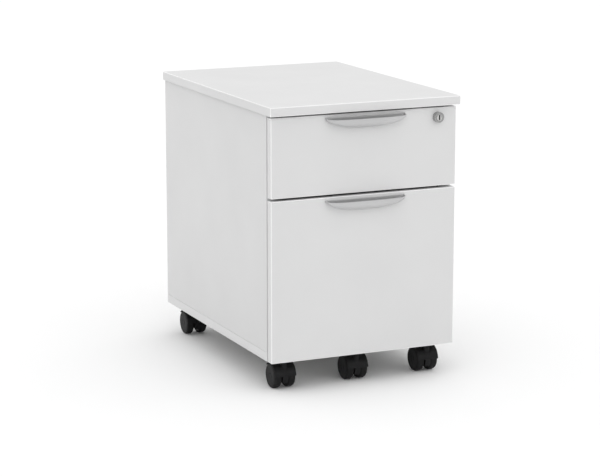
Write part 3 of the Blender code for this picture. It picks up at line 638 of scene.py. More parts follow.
# %% Pulls
PULL_WALL = 2.2 * MM
PULL_LIP_DROP = 3.3 * MM
PULL_SQUARENESS = 0.5  # power of the plan's sine and cosine: 1 is an ellipse
PULL_RIM = 0.7 * MM
PULL_AROUND = 128  # steps round the sphere
PULL_DOWN = 48  # steps down the sphere
PULL_ON_PLANE = 1e-5  # share of the sphere's radius
PULL_MERGE = 0.02 * MM
PULL_AT_BACK = 0.05 * MM  # an open edge this close to the drawer front belongs to the back
PULL_SHARP = 50  # degrees


def pull_shell(low, high):
    """A half-moon shell that fills the box between two corners, open along its top."""
    half = (high.x - low.x) / 2
    depth = high.y - low.y
    height = high.z - low.z
    bm = bmesh.new()
    bmesh.ops.create_uvsphere(bm, u_segments=PULL_AROUND, v_segments=PULL_DOWN, radius=1)
    for normal in ((0, 0, 1), (0, 1, 0)):
        plane_cut(bm, normal, clear_outer=True, dist=PULL_ON_PLANE)
    for vert in bm.verts:
        down = min(max(-vert.co.z, 0.0), 1.0)
        turn = math.atan2(max(-vert.co.y, 0.0), vert.co.x) if down < 1 else math.pi / 2
        even = math.pi * (1 - math.cos(turn)) / 2
        across = math.copysign(abs(math.cos(even)) ** PULL_SQUARENESS, math.cos(even))
        out = abs(math.sin(even)) ** PULL_SQUARENESS
        narrow, shallow = math.sqrt(1 - down**2), math.sqrt(1 - down**3)
        drop = height * down + PULL_LIP_DROP * out * (1 - down)
        vert.co = (half * narrow * across, high.y - depth * shallow * out, high.z - drop)
    bmesh.ops.remove_doubles(bm, verts=bm.verts, dist=PULL_MERGE)
    below_top = [
        e for e in bm.edges if e.is_boundary and min(v.co.z for v in e.verts) < high.z - PULL_MERGE / 2
    ]
    back = [e for e in below_top if max(abs(v.co.y - high.y) for v in e.verts) < PULL_AT_BACK]
    ends = [v for e in back for v in e.verts if sum(other in back for other in v.link_edges) == 1]
    back.append(bm.edges.new(ends))
    bmesh.ops.edgeloop_fill(bm, edges=back)
    bmesh.ops.recalc_face_normals(bm, faces=bm.faces)
    bmesh.ops.solidify(bm, geom=bm.faces[:], thickness=PULL_WALL)
    upper = high.z - height / 3
    rim = [e for e in bm.edges if e.calc_face_angle(0) > CREASE and max(v.co.z for v in e.verts) > upper]
    soften(bm, rim, PULL_RIM)
    return bm


for drawer in ("box_drawer", "file_drawer"):
    low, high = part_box(f"{drawer}_pull")
    shell = pull_shell(low, high)
    print(drawer, "pull faces", len(shell.faces))
    name = f"{drawer}_pull"
    piece(name + "_shell", shell, [silver], drawer, [name], sharp=PULL_SHARP)

# %% [markdown]
# ## Lock
# A cam lock sits at the upper right. Its barrel is a turned nickel ring with a rounded rim, a
# shallow step and a fine groove. The plug in it is a disc whose face is cut by four planes into
# the keyway's outline, which is then extruded inwards. The keyway's deeper walls are black:
# painted shade. A hex nut holds the barrel from behind.

# %% Lock
PLUG_FIT = 0.3 * MM
KEYWAY_WIDTH = 2.6 * MM
KEYWAY_DEPTH = 8 * MM
KEYWAY_MARGIN = 1.5 * MM  # keyway's end to the plug's rim
PLUG_STEPS = 64
PLUG_EDGE = 0.3 * MM
NUT_RADIUS = 12.5 * MM
NUT_THICKNESS = 3 * MM
NUT_EDGE = 0.4 * MM
RIM_SEAT = 0.2 * MM  # gap between the front and the rim
RIM_GROOVE = 0.25 * MM
RIM_GROOVE_AT = (0.30, 0.33, 0.37, 0.40)  # shares of the rim's height where the groove turns
# Millimetres in from the rim's side, and down from its face
RIM_ROUNDING = ((0, 1.1), (0.15, 0.6), (0.5, 0.2), (1.0, 0))
# Millimetres out from the rim's hole, and down from its face
HOLE_ROUNDING = ((0.9, 0), (0.5, 0.15), (0, 0.7))

plug_radius = (plug_high.x - plug_low.x) / 2
hole = plug_radius + PLUG_FIT
stand_out = face_y - barrel_low.y
tail = barrel_high.y - face_y
shank = bore_radius - PLUG_FIT
rim_outline = [(hole, -tail), (shank, -tail), (shank, RIM_SEAT), (rim_radius, RIM_SEAT)]
for share, cut in zip(RIM_GROOVE_AT, (0, RIM_GROOVE, RIM_GROOVE, 0)):
    rim_outline.append((rim_radius - cut, stand_out * share))
rim_outline += [(rim_radius - inward * MM, stand_out - down * MM) for inward, down in RIM_ROUNDING]
rim_outline += [(hole + outward * MM, stand_out - down * MM) for outward, down in HOLE_ROUNDING]
rim_outline.append((hole, -tail))
barrel = lathe(rim_outline, (lock_at.x, face_y, lock_at.z), (0, -1, 0), steps=72)
piece("lock_rim", barrel, [dark_nickel], "box_drawer", ["lock_barrel"])


def keyed_plug():
    """The plug, with its keyway sunk into its face."""
    bm = bmesh.new()
    bmesh.ops.create_circle(bm, cap_ends=True, radius=plug_radius, segments=PLUG_STEPS)
    reach = plug_radius - KEYWAY_MARGIN
    for normal, at in (((1, 0, 0), KEYWAY_WIDTH / 2), ((0, 1, 0), reach)):
        for side in (-1, 1):
            plane_cut(bm, normal, Vector(normal) * at * side)
    slot = [f for f in bm.faces if f.calc_center_median().length < reach / 4]
    sunk = bmesh.ops.extrude_face_region(bm, geom=slot)["geom"]
    bmesh.ops.delete(bm, geom=slot, context="FACES_ONLY")
    bmesh.ops.translate(bm, vec=(0, 0, -KEYWAY_DEPTH), verts=verts_in(sunk))
    # Faces deeper than a fifth of the keyway take the black nylon: painted shade inside the keyway.
    for face in bm.faces:
        face.material_index = int(face.calc_center_median().z < -KEYWAY_DEPTH / 5)
    edge = [e for e in bm.edges if e.is_boundary]
    side = bmesh.ops.extrude_edge_only(bm, edges=edge)["geom"]
    length = plug_high.y - plug_low.y
    bmesh.ops.translate(bm, vec=(0, 0, -length), verts=verts_in(side))
    bmesh.ops.edgeloop_fill(bm, edges=[e for e in bm.edges if e.is_boundary])
    bmesh.ops.recalc_face_normals(bm, faces=bm.faces)
    face_edges = [e for e in bm.edges if all(abs(v.co.z) < MERGE for v in e.verts)]
    rim = [e for e in face_edges if all(v.co.xy.length > plug_radius * 0.99 for v in e.verts)]
    soften(bm, rim, PLUG_EDGE, 2)
    place = stand_at((lock_at.x, plug_low.y, lock_at.z), (0, -1, 0))
    bmesh.ops.transform(bm, matrix=place, verts=bm.verts)
    return bm


# The second finish is the black nylon that paints shade into the keyway.
piece("lock_keyed_plug", keyed_plug(), [nickel, tread], "lock_plug", ["lock_plug"])

nut = bmesh.new()
bmesh.ops.create_cone(
    nut, cap_ends=True, segments=6, radius1=NUT_RADIUS, radius2=NUT_RADIUS, depth=NUT_THICKNESS
)
soften(nut, nut.edges[:], NUT_EDGE, 2)
nut_place = (lock_at.x, front_back_y + NUT_THICKNESS / 2 + PLUG_FIT, lock_at.z)
bmesh.ops.transform(nut, matrix=stand_at(nut_place, (0, 1, 0)), verts=nut.verts)
nut_hole = round_cutter(bore_radius, -CUT_PAST, CUT_PAST, nut_place)
piece("lock_nut", carve(nut, nut_hole), [zinc_pressed], "box_drawer")
print("lock rim", round(2000 * rim_radius, 1), "mm across, standing out", round(1000 * stand_out, 1), "mm")

# %% [markdown]
# ## Screws and caps
# Screws hold the slides, plates, bracket, catches, drawer backs and pulls. One pan head is turned
# from a short profile. Its recess starts as a loop inside the head's rim: each point moves to the
# end of the nearest of four arms, and the loop is then sunk. Copies of the head are joined into
# one piece for each group. Plastic caps hide the case's fittings in the same way.

# %% Screws and caps
HEAD_POINTS = 12  # three for each arm of the recess
SCREW_SHARP = 40  # degrees
# Shares of the head's radius
HEAD_OUTLINE = ((1, 0), (1, 0.22), (0.84, 0.42), (0.62, 0.5))
RECESS_ARM = 0.46
RECESS_WIDTH = 0.11
RECESS_DEPTH = 0.4
RECESS_TAPER = 0.35  # the recess's foot as a share of its mouth
# Shares of a cap's radius and of its height
CAP_OUTLINE = ((0, 0), (1, 0), (1, 0.4), (0.93, 0.8), (0.7, 1), (0, 1))


def screw_head(radius):
    """A pan head standing on the plane z = 0, with a four-armed recess."""
    outline = [(radius * out, radius * up) for out, up in HEAD_OUTLINE]
    bm = lathe(outline, (0, 0, 0), (0, 0, 1), steps=HEAD_POINTS)
    top = max(v.co.z for v in bm.verts)
    edge = [e for e in bm.edges if all(abs(v.co.z - top) < MERGE for v in e.verts)]
    inner = bmesh.ops.extrude_edge_only(bm, edges=edge)["geom"]
    mouth = verts_in(inner)
    arm, width = radius * RECESS_ARM, radius * RECESS_WIDTH
    for vert in mouth:
        turned = math.atan2(vert.co.y, vert.co.x)
        beside_arm = round(turned / (math.tau / HEAD_POINTS)) % 3
        nearest = round(turned / (math.pi / 2)) * math.pi / 2
        along = Vector((math.cos(nearest), math.sin(nearest), 0))
        across = Vector((-along.y, along.x, 0)) * math.copysign(width, turned - nearest)
        level = Vector((0, 0, top))
        vert.co = level + along * arm + across if beside_arm else level + along * arm
    loop = [e for e in inner if isinstance(e, bmesh.types.BMEdge) and all(v in mouth for v in e.verts)]
    sunk = bmesh.ops.extrude_edge_only(bm, edges=loop)["geom"]
    foot = verts_in(sunk)
    bmesh.ops.translate(bm, vec=(0, 0, -radius * RECESS_DEPTH), verts=foot)
    bmesh.ops.scale(bm, vec=(RECESS_TAPER, RECESS_TAPER, 1), verts=foot)
    floor_edges = [e for e in sunk if isinstance(e, bmesh.types.BMEdge) and e.is_boundary]
    bmesh.ops.edgeloop_fill(bm, edges=floor_edges)
    bmesh.ops.edgeloop_fill(bm, edges=[e for e in bm.edges if e.is_boundary])
    bmesh.ops.recalc_face_normals(bm, faces=bm.faces)
    return bm


def cap_head(radius, height):
    """A low domed plastic cap."""
    outline = [(radius * out, height * up) for out, up in CAP_OUTLINE]
    return lathe(outline, (0, 0, 0), (0, 0, 1), steps=24)


def copies(shape, places):
    """One bmesh with the shape at every (place, facing)."""
    mesh = bpy.data.meshes.new("copied")
    shape.to_mesh(mesh)
    shape.free()
    bm = bmesh.new()
    for place, facing in places:
        already = len(bm.verts)
        bm.from_mesh(mesh)
        bm.verts.ensure_lookup_table()
        bmesh.ops.transform(bm, matrix=stand_at(place, facing), verts=bm.verts[already:])
    bpy.data.meshes.remove(mesh)
    return bm


# %% Pull screws and case caps
PULL_SCREW_SPREAD = 64 * MM
PULL_SCREW_RADIUS = 4.2 * MM
for drawer in ("box_drawer", "file_drawer"):
    pull_low, pull_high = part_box(f"{drawer}_pull")
    at_z = (pull_low.z + pull_high.z) / 2
    spots = [((side * PULL_SCREW_SPREAD, front_back_y, at_z), (0, 1, 0)) for side in (-1, 1)]
    heads = copies(screw_head(PULL_SCREW_RADIUS), spots)
    piece(f"{drawer}_pull_screws", heads, [zinc_pressed], drawer, sharp=SCREW_SHARP)

CAP_RADIUS = 8 * MM
CAP_HEIGHT = 1 * MM
CAP_INSET = 34 * MM
FOOT_CAP_RADIUS = 5 * MM
FOOT_CAP_HEIGHT = 0.6 * MM
FOOT_CAP_INSET = 9 * MM
FOOT_CAP_SHARES = (0.12, 0.5, 0.88)  # of the case's depth

side_spots = []
middle_y = (left_low.y + left_high.y) / 2
for side, inner_x in ((1, left_high.x), (-1, right_low.x)):
    for z in (left_low.z + CAP_INSET / 2, left_high.z - CAP_INSET / 2):
        for y in (left_low.y + 3 * CAP_INSET, middle_y, left_high.y - 2 * CAP_INSET):
            side_spots.append(((inner_x, y, z), (side, 0, 0)))
side_caps = copies(cap_head(CAP_RADIUS, CAP_HEIGHT), side_spots)
piece("case_fitting_caps", side_caps, [edge_band], "root")

foot_spots = []
for x in (bottom_low.x + FOOT_CAP_INSET, bottom_high.x - FOOT_CAP_INSET):
    for share in FOOT_CAP_SHARES:
        y = bottom_low.y + share * (bottom_high.y - bottom_low.y)
        foot_spots.append(((x, y, bottom_low.z), (0, 0, -1)))
foot_caps = copies(cap_head(FOOT_CAP_RADIUS, FOOT_CAP_HEIGHT), foot_spots)
piece("case_bottom_caps", foot_caps, [edge_band], "root")
print("caps inside and under the case:", len(side_spots) + len(foot_spots))

# %% [markdown]
# ## Bumpers
# Small clear domes on the case's front edges stop the fronts from knocking. They nearly fill the
# narrow gap behind each front, one near each corner.

# %% Bumpers
BUMPER_RADIUS = 4 * MM
BUMPER_INSET = 22 * MM
BUMPER_SHARE = 0.9  # of the gap behind the fronts
gap_behind = left_low.y - front_back_y
edge_middle = (left_low.x + left_high.x) / 2
spots = []
for low, high in ((box_front_low, box_front_high), (file_front_low, file_front_high)):
    for z in (max(low.z, left_low.z) + BUMPER_INSET, high.z - BUMPER_INSET):
        spots += [((side * edge_middle, left_low.y, z), (0, -1, 0)) for side in (-1, 1)]
bumpers = copies(cap_head(BUMPER_RADIUS, gap_behind * BUMPER_SHARE), spots)
piece("front_bumpers", bumpers, [clear], "root")

# %% [markdown]
# ## Drawer boxes
# Thin foil-covered boards make each box. They are rounded slabs like the case's, without joint
# lines, because the foil wraps round their edges. Screws hold each back between the sides.

# %% Drawer boxes
for drawer in ("box_drawer", "file_drawer"):
    for part in ("side_left", "side_right", "back", "bottom"):
        node = f"{drawer}_{part}"
        board(node, (), drawer, skin=foil, slot="drawer_board", arris=THIN_ARRIS)

BACK_SCREW = 3.2 * MM
BACK_SCREW_SHARES = (0.2, 0.8)  # of the back's height
for drawer in ("box_drawer", "file_drawer"):
    back_low, back_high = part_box(f"{drawer}_back")
    outer_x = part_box(f"{drawer}_side_right")[1].x
    middle_y = (back_low.y + back_high.y) / 2
    spots = []
    for share in BACK_SCREW_SHARES:
        z = back_low.z + share * (back_high.z - back_low.z)
        spots += [((side * outer_x, middle_y, z), (side, 0, 0)) for side in (-1, 1)]
    heads = copies(screw_head(BACK_SCREW), spots)
    piece(f"{drawer}_back_screws", heads, [zinc_pressed], drawer, sharp=SCREW_SHARP)

# %% [markdown]
# ## Ball slides
# Each slide is rolled steel channels nested in each other, with rows of steel balls between
# their flanges. A channel is its folded outline drawn along Y, with every fold rounded. The balls
# sit in flat cage strips. Screws hold the outer channel to the case and the inner to the drawer.

# %% Slide channels
STEEL = 1.2 * MM
FOLD = 0.4 * MM


def channel(node, body, opens_to):
    """A C channel in the node's box, open towards +X or -X."""
    low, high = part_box(node)
    web, lips = (low.x, high.x) if opens_to > 0 else (high.x, low.x)
    inner = web + opens_to * STEEL
    outline = [(web, low.z), (lips, low.z), (lips, low.z + STEEL), (inner, low.z + STEEL)]
    outline += [(inner, high.z - STEEL), (lips, high.z - STEEL), (lips, high.z), (web, high.z)]
    made = strip(outline, low.y, high.y, FOLD)
    piece(node + "_channel", made, [zinc_along], body, [node])
    return inner, low, high


SLIDE_SCREW = 3.4 * MM
SLIDE_SCREW_SHARES = (0.06, 0.34, 0.62, 0.92)  # of the channel's length


def web_screws(name, body, inner, low, high, facing):
    """A row of screws along a channel's web."""
    middle_z = (low.z + high.z) / 2
    places = [low.y + share * (high.y - low.y) for share in SLIDE_SCREW_SHARES]
    spots = [((inner, y, middle_z), (facing, 0, 0)) for y in places]
    heads = copies(screw_head(SLIDE_SCREW), spots)
    piece(name, heads, [zinc_pressed], body, sharp=SCREW_SHARP)


for word, toward_drawer in (("left", 1), ("right", -1)):
    for drawer in ("box_drawer", "file_drawer"):
        made = channel(f"{drawer}_slide_case_{word}", "root", toward_drawer)
        web_screws(f"{drawer}_slide_case_screws_{word}", "root", *made, toward_drawer)
        made = channel(f"{drawer}_slide_drawer_{word}", drawer, -toward_drawer)
        web_screws(f"{drawer}_slide_drawer_screws_{word}", drawer, *made, -toward_drawer)
    channel(f"file_drawer_slide_middle_{word}", "file_slide_middle", toward_drawer)

# %% Ball cages
BALL_RADIUS = 1.5 * MM
BALL_PITCH = 11 * MM
BALLS = 11
CAGE_STEEL = 0.6 * MM
CAGE_WIDTH = 5 * MM
BALL_SHARP = 60  # degrees


def ball_rows(name, body, outer_node, inner_node):
    """Two rows of balls in strips, between the flanges of two nested channels."""
    outer_low, outer_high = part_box(outer_node)
    inner_low, inner_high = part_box(inner_node)
    x = (max(outer_low.x, inner_low.x) + min(outer_high.x, inner_high.x)) / 2
    start = outer_low.y + BALL_PITCH
    centres = []
    cages = bmesh.new()
    for outer_z, inner_z, way in ((outer_high.z, inner_high.z, -1), (outer_low.z, inner_low.z, 1)):
        z = (outer_z + way * STEEL + inner_z) / 2
        low = (x - CAGE_WIDTH / 2, start - BALL_PITCH / 2, z - CAGE_STEEL / 2)
        high = (x + CAGE_WIDTH / 2, start + (BALLS - 0.5) * BALL_PITCH, z + CAGE_STEEL / 2)
        join(cages, slab(low, high, CAGE_STEEL / 4, 1))
        centres += [((x, start + ball * BALL_PITCH, z), (0, 0, 1)) for ball in range(BALLS)]
    ball = bmesh.new()
    bmesh.ops.create_icosphere(ball, subdivisions=2, radius=BALL_RADIUS)
    join(cages, copies(ball, centres), 1)
    piece(name, cages, [zinc_along, nickel], body, sharp=BALL_SHARP)


for word in ("left", "right"):
    box_case = "box_drawer_slide_case_" + word
    box_inner = "box_drawer_slide_drawer_" + word
    file_case = "file_drawer_slide_case_" + word
    file_middle = "file_drawer_slide_middle_" + word
    file_inner = "file_drawer_slide_drawer_" + word
    ball_rows("box_drawer_balls_" + word, "root", box_case, box_inner)
    ball_rows("file_drawer_outer_balls_" + word, "file_slide_middle", file_case, file_middle)
    ball_rows("file_drawer_inner_balls_" + word, "file_slide_middle", file_middle, file_inner)
print("balls:", 6 * 2 * BALLS)

# %% [markdown]
# ## Rails, catches and locking bar
# Hanging files hook over a steel rail on each side of the deep drawer. A steel block on each
# drawer stands behind a hook of the locking bar. Two plastic saddles guide the bar in its groove.

# %% Rails, catches and locking bar
RAIL_ROUND = 0.9 * MM
CATCH_ROUND = 0.8 * MM
CATCH_SCREW = 2.6 * MM
SADDLE_THICKNESS = 1.4 * MM
SADDLE_HEIGHT = 12 * MM
SADDLE_REACH = 6 * MM
SADDLE_ROUND = 0.5 * MM
SADDLE_DROPS = (60 * MM, 120 * MM)  # the box drawer's catch to each saddle's foot

for word in ("left", "right"):
    low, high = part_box(f"file_rail_{word}")
    rail = slab(low, high, RAIL_ROUND)
    piece(f"file_rail_{word}_bar", rail, [zinc_along], "file_drawer", [f"file_rail_{word}"])

for drawer in ("box_drawer", "file_drawer"):
    low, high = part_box(f"{drawer}_catch")
    block = slab(low, high, CATCH_ROUND)
    middle = (low + high) / 2
    join(block, copies(screw_head(CATCH_SCREW), [((high.x, middle.y, middle.z), (1, 0, 0))]))
    piece(f"{drawer}_catch_block", block, [zinc_pressed], drawer, [f"{drawer}_catch"])

saddles = bmesh.new()
catch_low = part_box("box_drawer_catch")[0]
for drop in SADDLE_DROPS:
    z = catch_low.z - drop
    low = (right_low.x - SADDLE_THICKNESS, bar_low.y - SADDLE_REACH, z)
    high = (right_low.x, bar_high.y + SADDLE_REACH, z + SADDLE_HEIGHT)
    join(saddles, slab(low, high, SADDLE_ROUND))
piece("lock_bar_saddles", saddles, [nylon], "root")

# %% [markdown]
# ## Casters
# Each caster has two nylon wheels on one axle, joined by a web that swivels on a steel kingpin.
# A curved hood covers the wheels from front to rear. The hood is an edge spun about the axle's
# line into a curved sheet, then given its wall. The web is a disc sector of the same centre.
# A wheel is one profile turned about the axle: hub disc, ring groove, rounded shoulders, flat
# tread with its parting line, and a recessed inner face.

# %% Caster shapes
HOOD_WALL = 1.3 * MM
HOOD_SPAN = (176, 44)  # degrees above level at the leading and the trailing edge
WEB_SPAN = (208, 44)  # the web reaches further down in front, between the wheels
HOOD_STEPS = 48
HOOD_GAP = 0.7 * MM  # tread to the hood's inner face
WEB_GAP = 0.8 * MM  # wheel's inner face to the web
HUB_RADIUS = 12 * MM
HUB_EDGE = 0.6 * MM
BOSS_RADIUS = 6.5 * MM  # it reaches down between the wheels
BOSS_EDGE = 0.8 * MM
CASTER_TRAIL = 16 * MM  # kingpin to axle


def circled(centre, radius, degrees):
    """The point of a circle about the axle, at an angle above level from the trailing side."""
    turned = math.radians(degrees)
    return Vector((centre.x, centre.y + radius * math.cos(turned), centre.z + radius * math.sin(turned)))


def curved_sheet(centre, radius, half, wall):
    """A strip of a cylinder about the axle's line, from the hood's leading edge to its trailing one."""
    bm = bmesh.new()
    start = circled(centre, radius, HOOD_SPAN[0])
    verts = [bm.verts.new((side * half + centre.x, start.y, start.z)) for side in (-1, 1)]
    edge = bm.edges.new(verts)
    span = math.radians(HOOD_SPAN[1] - HOOD_SPAN[0])
    bmesh.ops.spin(bm, geom=[*verts, edge], cent=centre, axis=(1, 0, 0), angle=span, steps=HOOD_STEPS)
    bmesh.ops.recalc_face_normals(bm, faces=bm.faces)
    if (bm.faces[:][0].calc_center_median() - centre).dot(bm.faces[:][0].normal) < 0:
        bmesh.ops.reverse_faces(bm, faces=bm.faces)
    bmesh.ops.solidify(bm, geom=bm.faces[:], thickness=wall)
    soften(bm, [e for e in bm.edges if e.calc_face_angle(0) > CREASE], wall * 0.3)
    return bm


def sector(centre, radius, half):
    """The web: a fan from the axle to the hood, drawn out to its thickness."""
    bm = bmesh.new()
    hub = bm.verts.new((centre.x - half, centre.y, centre.z))
    start = circled(centre, radius, WEB_SPAN[0])
    rim = bm.verts.new((centre.x - half, start.y, start.z))
    span = math.radians(WEB_SPAN[1] - WEB_SPAN[0])
    spoke = bm.edges.new((hub, rim))
    bmesh.ops.spin(bm, geom=[hub, rim, spoke], cent=centre, axis=(1, 0, 0), angle=span, steps=HOOD_STEPS)
    bmesh.ops.remove_doubles(bm, verts=bm.verts, dist=MERGE)
    drawn = bmesh.ops.extrude_face_region(bm, geom=bm.faces[:])["geom"]
    bmesh.ops.translate(bm, vec=(2 * half, 0, 0), verts=verts_in(drawn))
    bmesh.ops.recalc_face_normals(bm, faces=bm.faces)
    return bm


def drum(start, end, radius, edge, steps=40):
    """A short round bar with rounded rims."""
    start, end = Vector(start), Vector(end)
    length = (end - start).length
    outline = [(0, 0), (radius - edge, 0), (radius - 0.3 * edge, 0.3 * edge), (radius, edge)]
    outline += [(radius, length - edge), (radius - 0.3 * edge, length - 0.3 * edge)]
    outline += [(radius - edge, length), (0, length)]
    return lathe(outline, start, end - start, steps)


# %% Wheel
WHEEL_STEPS = 72
WHEEL_BORE = 3.3 * MM
BORE_SHARE = 0.6  # of the wheel's width
WHEEL_SHOULDER = 4 * MM
SHOULDER_STEPS = 6
TREAD_SHARE = 0.55  # of the shoulder: the tread's finish starts this far in
DISH_DEPTH = 1.6 * MM  # recess in the wheel's inner face
DISH_SLOPE = 1 * MM
DISH_TO_TREAD = 6 * MM
HUB_FLAT = 8 * MM
# Millimetres from the axle's line, and in from the outer side
HUB_DISC = ((0, 0.2), (5.2, 0.25), (5.6, 0.7), (6.2, 0.7), (6.6, 0.3))
# Shares of the wheel's radius, and millimetres in from the outer side
RING_GROOVE = ((0.72, 0.15), (0.735, 0.45), (0.76, 0.45), (0.775, 0.05))
# Shares of the wheel's width, and millimetres in from the tread
PARTING_LINE = ((0.52, 0), (0.51, 0.12), (0.49, 0.12), (0.48, 0))


def wheel(low, high, outward):
    """A wheel in the node's box, with its outer face towards outward (+1 or -1 along X)."""
    radius = (high.z - low.z) / 2
    width = high.x - low.x
    turns = [math.radians(90 * step / SHOULDER_STEPS) for step in range(SHOULDER_STEPS + 1)]
    rounding = [(WHEEL_SHOULDER * (1 - math.cos(t)), WHEEL_SHOULDER * (1 - math.sin(t))) for t in turns]
    outline = [(out * MM, width - inward * MM) for out, inward in HUB_DISC]
    outline += [(radius * share, width - inward * MM) for share, inward in RING_GROOVE]
    outline += [(radius - down, width - inward) for down, inward in reversed(rounding)]
    outline += [(radius - down * MM, width * share) for share, down in PARTING_LINE]
    outline += [(radius - down, inward) for down, inward in rounding]
    dish_outside = radius - DISH_TO_TREAD
    outline += [(dish_outside, 0), (dish_outside - DISH_SLOPE, DISH_DEPTH)]
    outline += [(HUB_FLAT + DISH_SLOPE, DISH_DEPTH), (HUB_FLAT, 0), (WHEEL_BORE, 0)]
    outline += [(WHEEL_BORE, width * BORE_SHARE), (0, width * BORE_SHARE)]
    middle = (low + high) / 2
    inner_x = low.x if outward > 0 else high.x
    bm = lathe(outline, (inner_x, middle.y, middle.z), (outward, 0, 0), steps=WHEEL_STEPS)
    for face in bm.faces:
        out = (face.calc_center_median() - middle).yz.length
        face.material_index = int(out > radius - WHEEL_SHOULDER * TREAD_SHARE)
    return bm


# %% Build the casters
PLATE_SCREW = 3.2 * MM
PLATE_SCREW_INSET = 5.5 * MM
CASTERS = ("front_left", "front_right", "rear_left", "rear_right", "anti_tip")
for corner in CASTERS:
    name = corner + "_caster"
    axle_low, axle_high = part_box(name + "_axle")
    axle = (axle_low + axle_high) / 2
    hood_low, hood_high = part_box(name + "_hood")
    left_wheel_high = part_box(name + "_wheel_left")[1]
    right_wheel_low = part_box(name + "_wheel_right")[0]
    web_half = (right_wheel_low.x - left_wheel_high.x) / 2 - WEB_GAP
    hood_half = (hood_high.x - hood_low.x) / 2
    hood_radius = left_wheel_high.z - axle.z + HOOD_GAP + HOOD_WALL
    kingpin_y = axle.y - CASTER_TRAIL

    hood = curved_sheet(axle, hood_radius, hood_half, HOOD_WALL)
    join(hood, sector(axle, hood_radius - HOOD_WALL / 2, web_half))
    hub_ends = [(axle.x + side * web_half, axle.y, axle.z) for side in (-1, 1)]
    join(hood, drum(*hub_ends, HUB_RADIUS, HUB_EDGE))
    boss_base = (axle.x, kingpin_y, axle.z + HUB_RADIUS)
    join(hood, drum(boss_base, (axle.x, kingpin_y, hood_high.z), BOSS_RADIUS, BOSS_EDGE))
    piece(name + "_hood_moulding", hood, [nylon], name + "_fork", [name + "_hood"])

    for word, outward in (("left", -1), ("right", 1)):
        node = f"{name}_wheel_{word}"
        rolling = f"{name}_roller_{word}"
        made = wheel(*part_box(node), outward)
        piece(node + "_moulding", made, [nylon, tread], rolling, [node])

print("casters:", len(CASTERS), "with", 2 * len(CASTERS), "wheels")

# %% [markdown]
# ### Caster plates and bracket
# The steel plates and the angle bracket already have their true shape in CAD, so they keep their
# meshes and take the zinc finish. Their screws are added here.

# %% Plate screws
for corner in CASTERS:
    name = corner + "_caster"
    if corner == "anti_tip":
        low, high = bracket_low, bracket_high
        z = (high.z + bottom_low.z) / 2
        reach = high.x - 2 * PLATE_SCREW_INSET
        spots = [((side * reach, low.y + CASTER_STEEL, z), (0, 1, 0)) for side in (-1, 1)]
        body = "file_drawer"
    else:
        low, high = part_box(name + "_plate")
        under = high.z - CASTER_STEEL
        spots = [
            ((x, y, under), (0, 0, -1))
            for x in (low.x + PLATE_SCREW_INSET, high.x - PLATE_SCREW_INSET)
            for y in (low.y + PLATE_SCREW_INSET, high.y - PLATE_SCREW_INSET)
        ]
        body = "root"
    heads = copies(screw_head(PLATE_SCREW), spots)
    piece(name + "_screws", heads, [zinc_pressed], body, sharp=SCREW_SHARP)

# %% [markdown]
# ## CAD pieces that stay
# What is left of the CAD model has the right shape as it is. Each of these nodes gets the finish
# that its real material has.

# %% Finishes for CAD nodes
kept = {"lock_bar": zinc_along, "lock_cam": zinc_pressed, "anti_tip_caster_bracket": zinc_pressed}
for corner in CASTERS:
    kept[corner + "_caster_axle"] = nickel
    if corner != "anti_tip":
        kept[corner + "_caster_plate"] = zinc_pressed
for node, material in kept.items():
    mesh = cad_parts[node].data
    mesh.materials.clear()
    mesh.materials.append(material)
print("CAD nodes kept:", len(kept))

# %% [markdown]
# ## Floor, light and camera
# A plain pale floor and a white surround light the cabinet softly from all sides. The surround
# grows dim near the horizon, which darkens the space under the case, but to the camera it is always
# white. A weak, very wide sun from the front and above adds a little to the top and the fronts.
# The camera stands in front and to the left, twelve degrees up, with a long lens.

# %% Floor
FLOOR_RADIUS = 40  # metres, so that its edge is never in view
FLOOR_DROP = 0.2 * MM  # keeps the floor clear of the treads
FLOOR_TONES = ((0.925, 0.925, 0.925), (0.935, 0.935, 0.935))

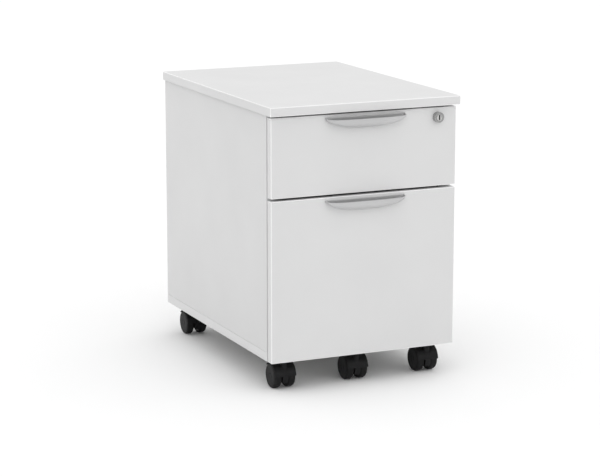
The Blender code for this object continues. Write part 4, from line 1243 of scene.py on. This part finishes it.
floor_finish, tree, shader = finish("pale studio floor", roughness=0.9, specular_ior_level=0.1)
skin = use(tree, pebbled_skin, {"Pebbles per metre": 200.0, "Clouds per metre": 0.8})
tree.links.new(mixed(tree, skin["Cloud"], *FLOOR_TONES), shader.inputs["Base Color"])
bm = bmesh.new()
bmesh.ops.create_circle(bm, cap_ends=True, radius=FLOOR_RADIUS, segments=96)
bmesh.ops.translate(bm, vec=(0, 0, -FLOOR_DROP), verts=bm.verts)
mesh = bpy.data.meshes.new("studio_floor")
bm.to_mesh(mesh)
bm.free()
mesh.materials.append(floor_finish)
floor = bpy.data.objects.new("studio_floor", mesh)
bpy.context.collection.objects.link(floor)

# %% Light
SURROUND = 1.10
SURROUND_LOW = 0.2  # strength at the horizon
DIM_BELOW = 0.3  # sine of the elevation at which the surround reaches its full strength
KEY_STRENGTH = 0.25
KEY_SPREAD = 75  # degrees across
KEY_FROM = (-0.15, -0.9, 0.9)

world = bpy.data.worlds.new("white surround")
bpy.context.scene.world = world
world.use_nodes = True
tree = world.node_tree
height = put(tree, "SeparateXYZ", {0: put(tree, "TexCoord").outputs["Generated"]}).outputs[2]
lit = spread(tree, height, 0.0, DIM_BELOW, SURROUND_LOW, SURROUND)
backdrop = sums(tree, "MAXIMUM", lit, put(tree, "LightPath").outputs["Is Camera Ray"])
tree.links.new(backdrop, tree.nodes["Background"].inputs["Strength"])
tree.nodes["Background"].inputs["Color"].default_value = (1, 1, 1, 1)
key = bpy.data.objects.new("soft key", bpy.data.lights.new("soft key", "SUN"))
key.data.energy = KEY_STRENGTH
key.data.angle = math.radians(KEY_SPREAD)
key.rotation_euler = Vector(KEY_FROM).to_track_quat("Z", "Y").to_euler()
bpy.context.collection.objects.link(key)
bpy.context.scene.view_settings.view_transform = "Standard"

# %% Camera
CAMERA_AZIMUTH = -24.25  # degrees from the front, towards the cabinet's left side
CAMERA_ELEVATION = 12.0
CAMERA_DISTANCE = 4.566
CAMERA_LENS = 130.68
SENSOR_WIDTH = 36
AIM = Vector((0, 0.0354, 0.2379))

azimuth, elevation = math.radians(CAMERA_AZIMUTH), math.radians(CAMERA_ELEVATION)
level = math.cos(elevation)
toward = Vector((math.sin(azimuth) * level, -math.cos(azimuth) * level, math.sin(elevation)))
camera = bpy.data.objects.new("camera", bpy.data.cameras.new("camera"))
camera.data.lens = CAMERA_LENS
camera.data.sensor_width = SENSOR_WIDTH
camera.location = AIM + toward * CAMERA_DISTANCE
camera.rotation_euler = (-toward).to_track_quat("-Z", "Y").to_euler()
bpy.context.collection.objects.link(camera)
bpy.context.scene.camera = camera
print("camera at", [round(value, 3) for value in camera.location])
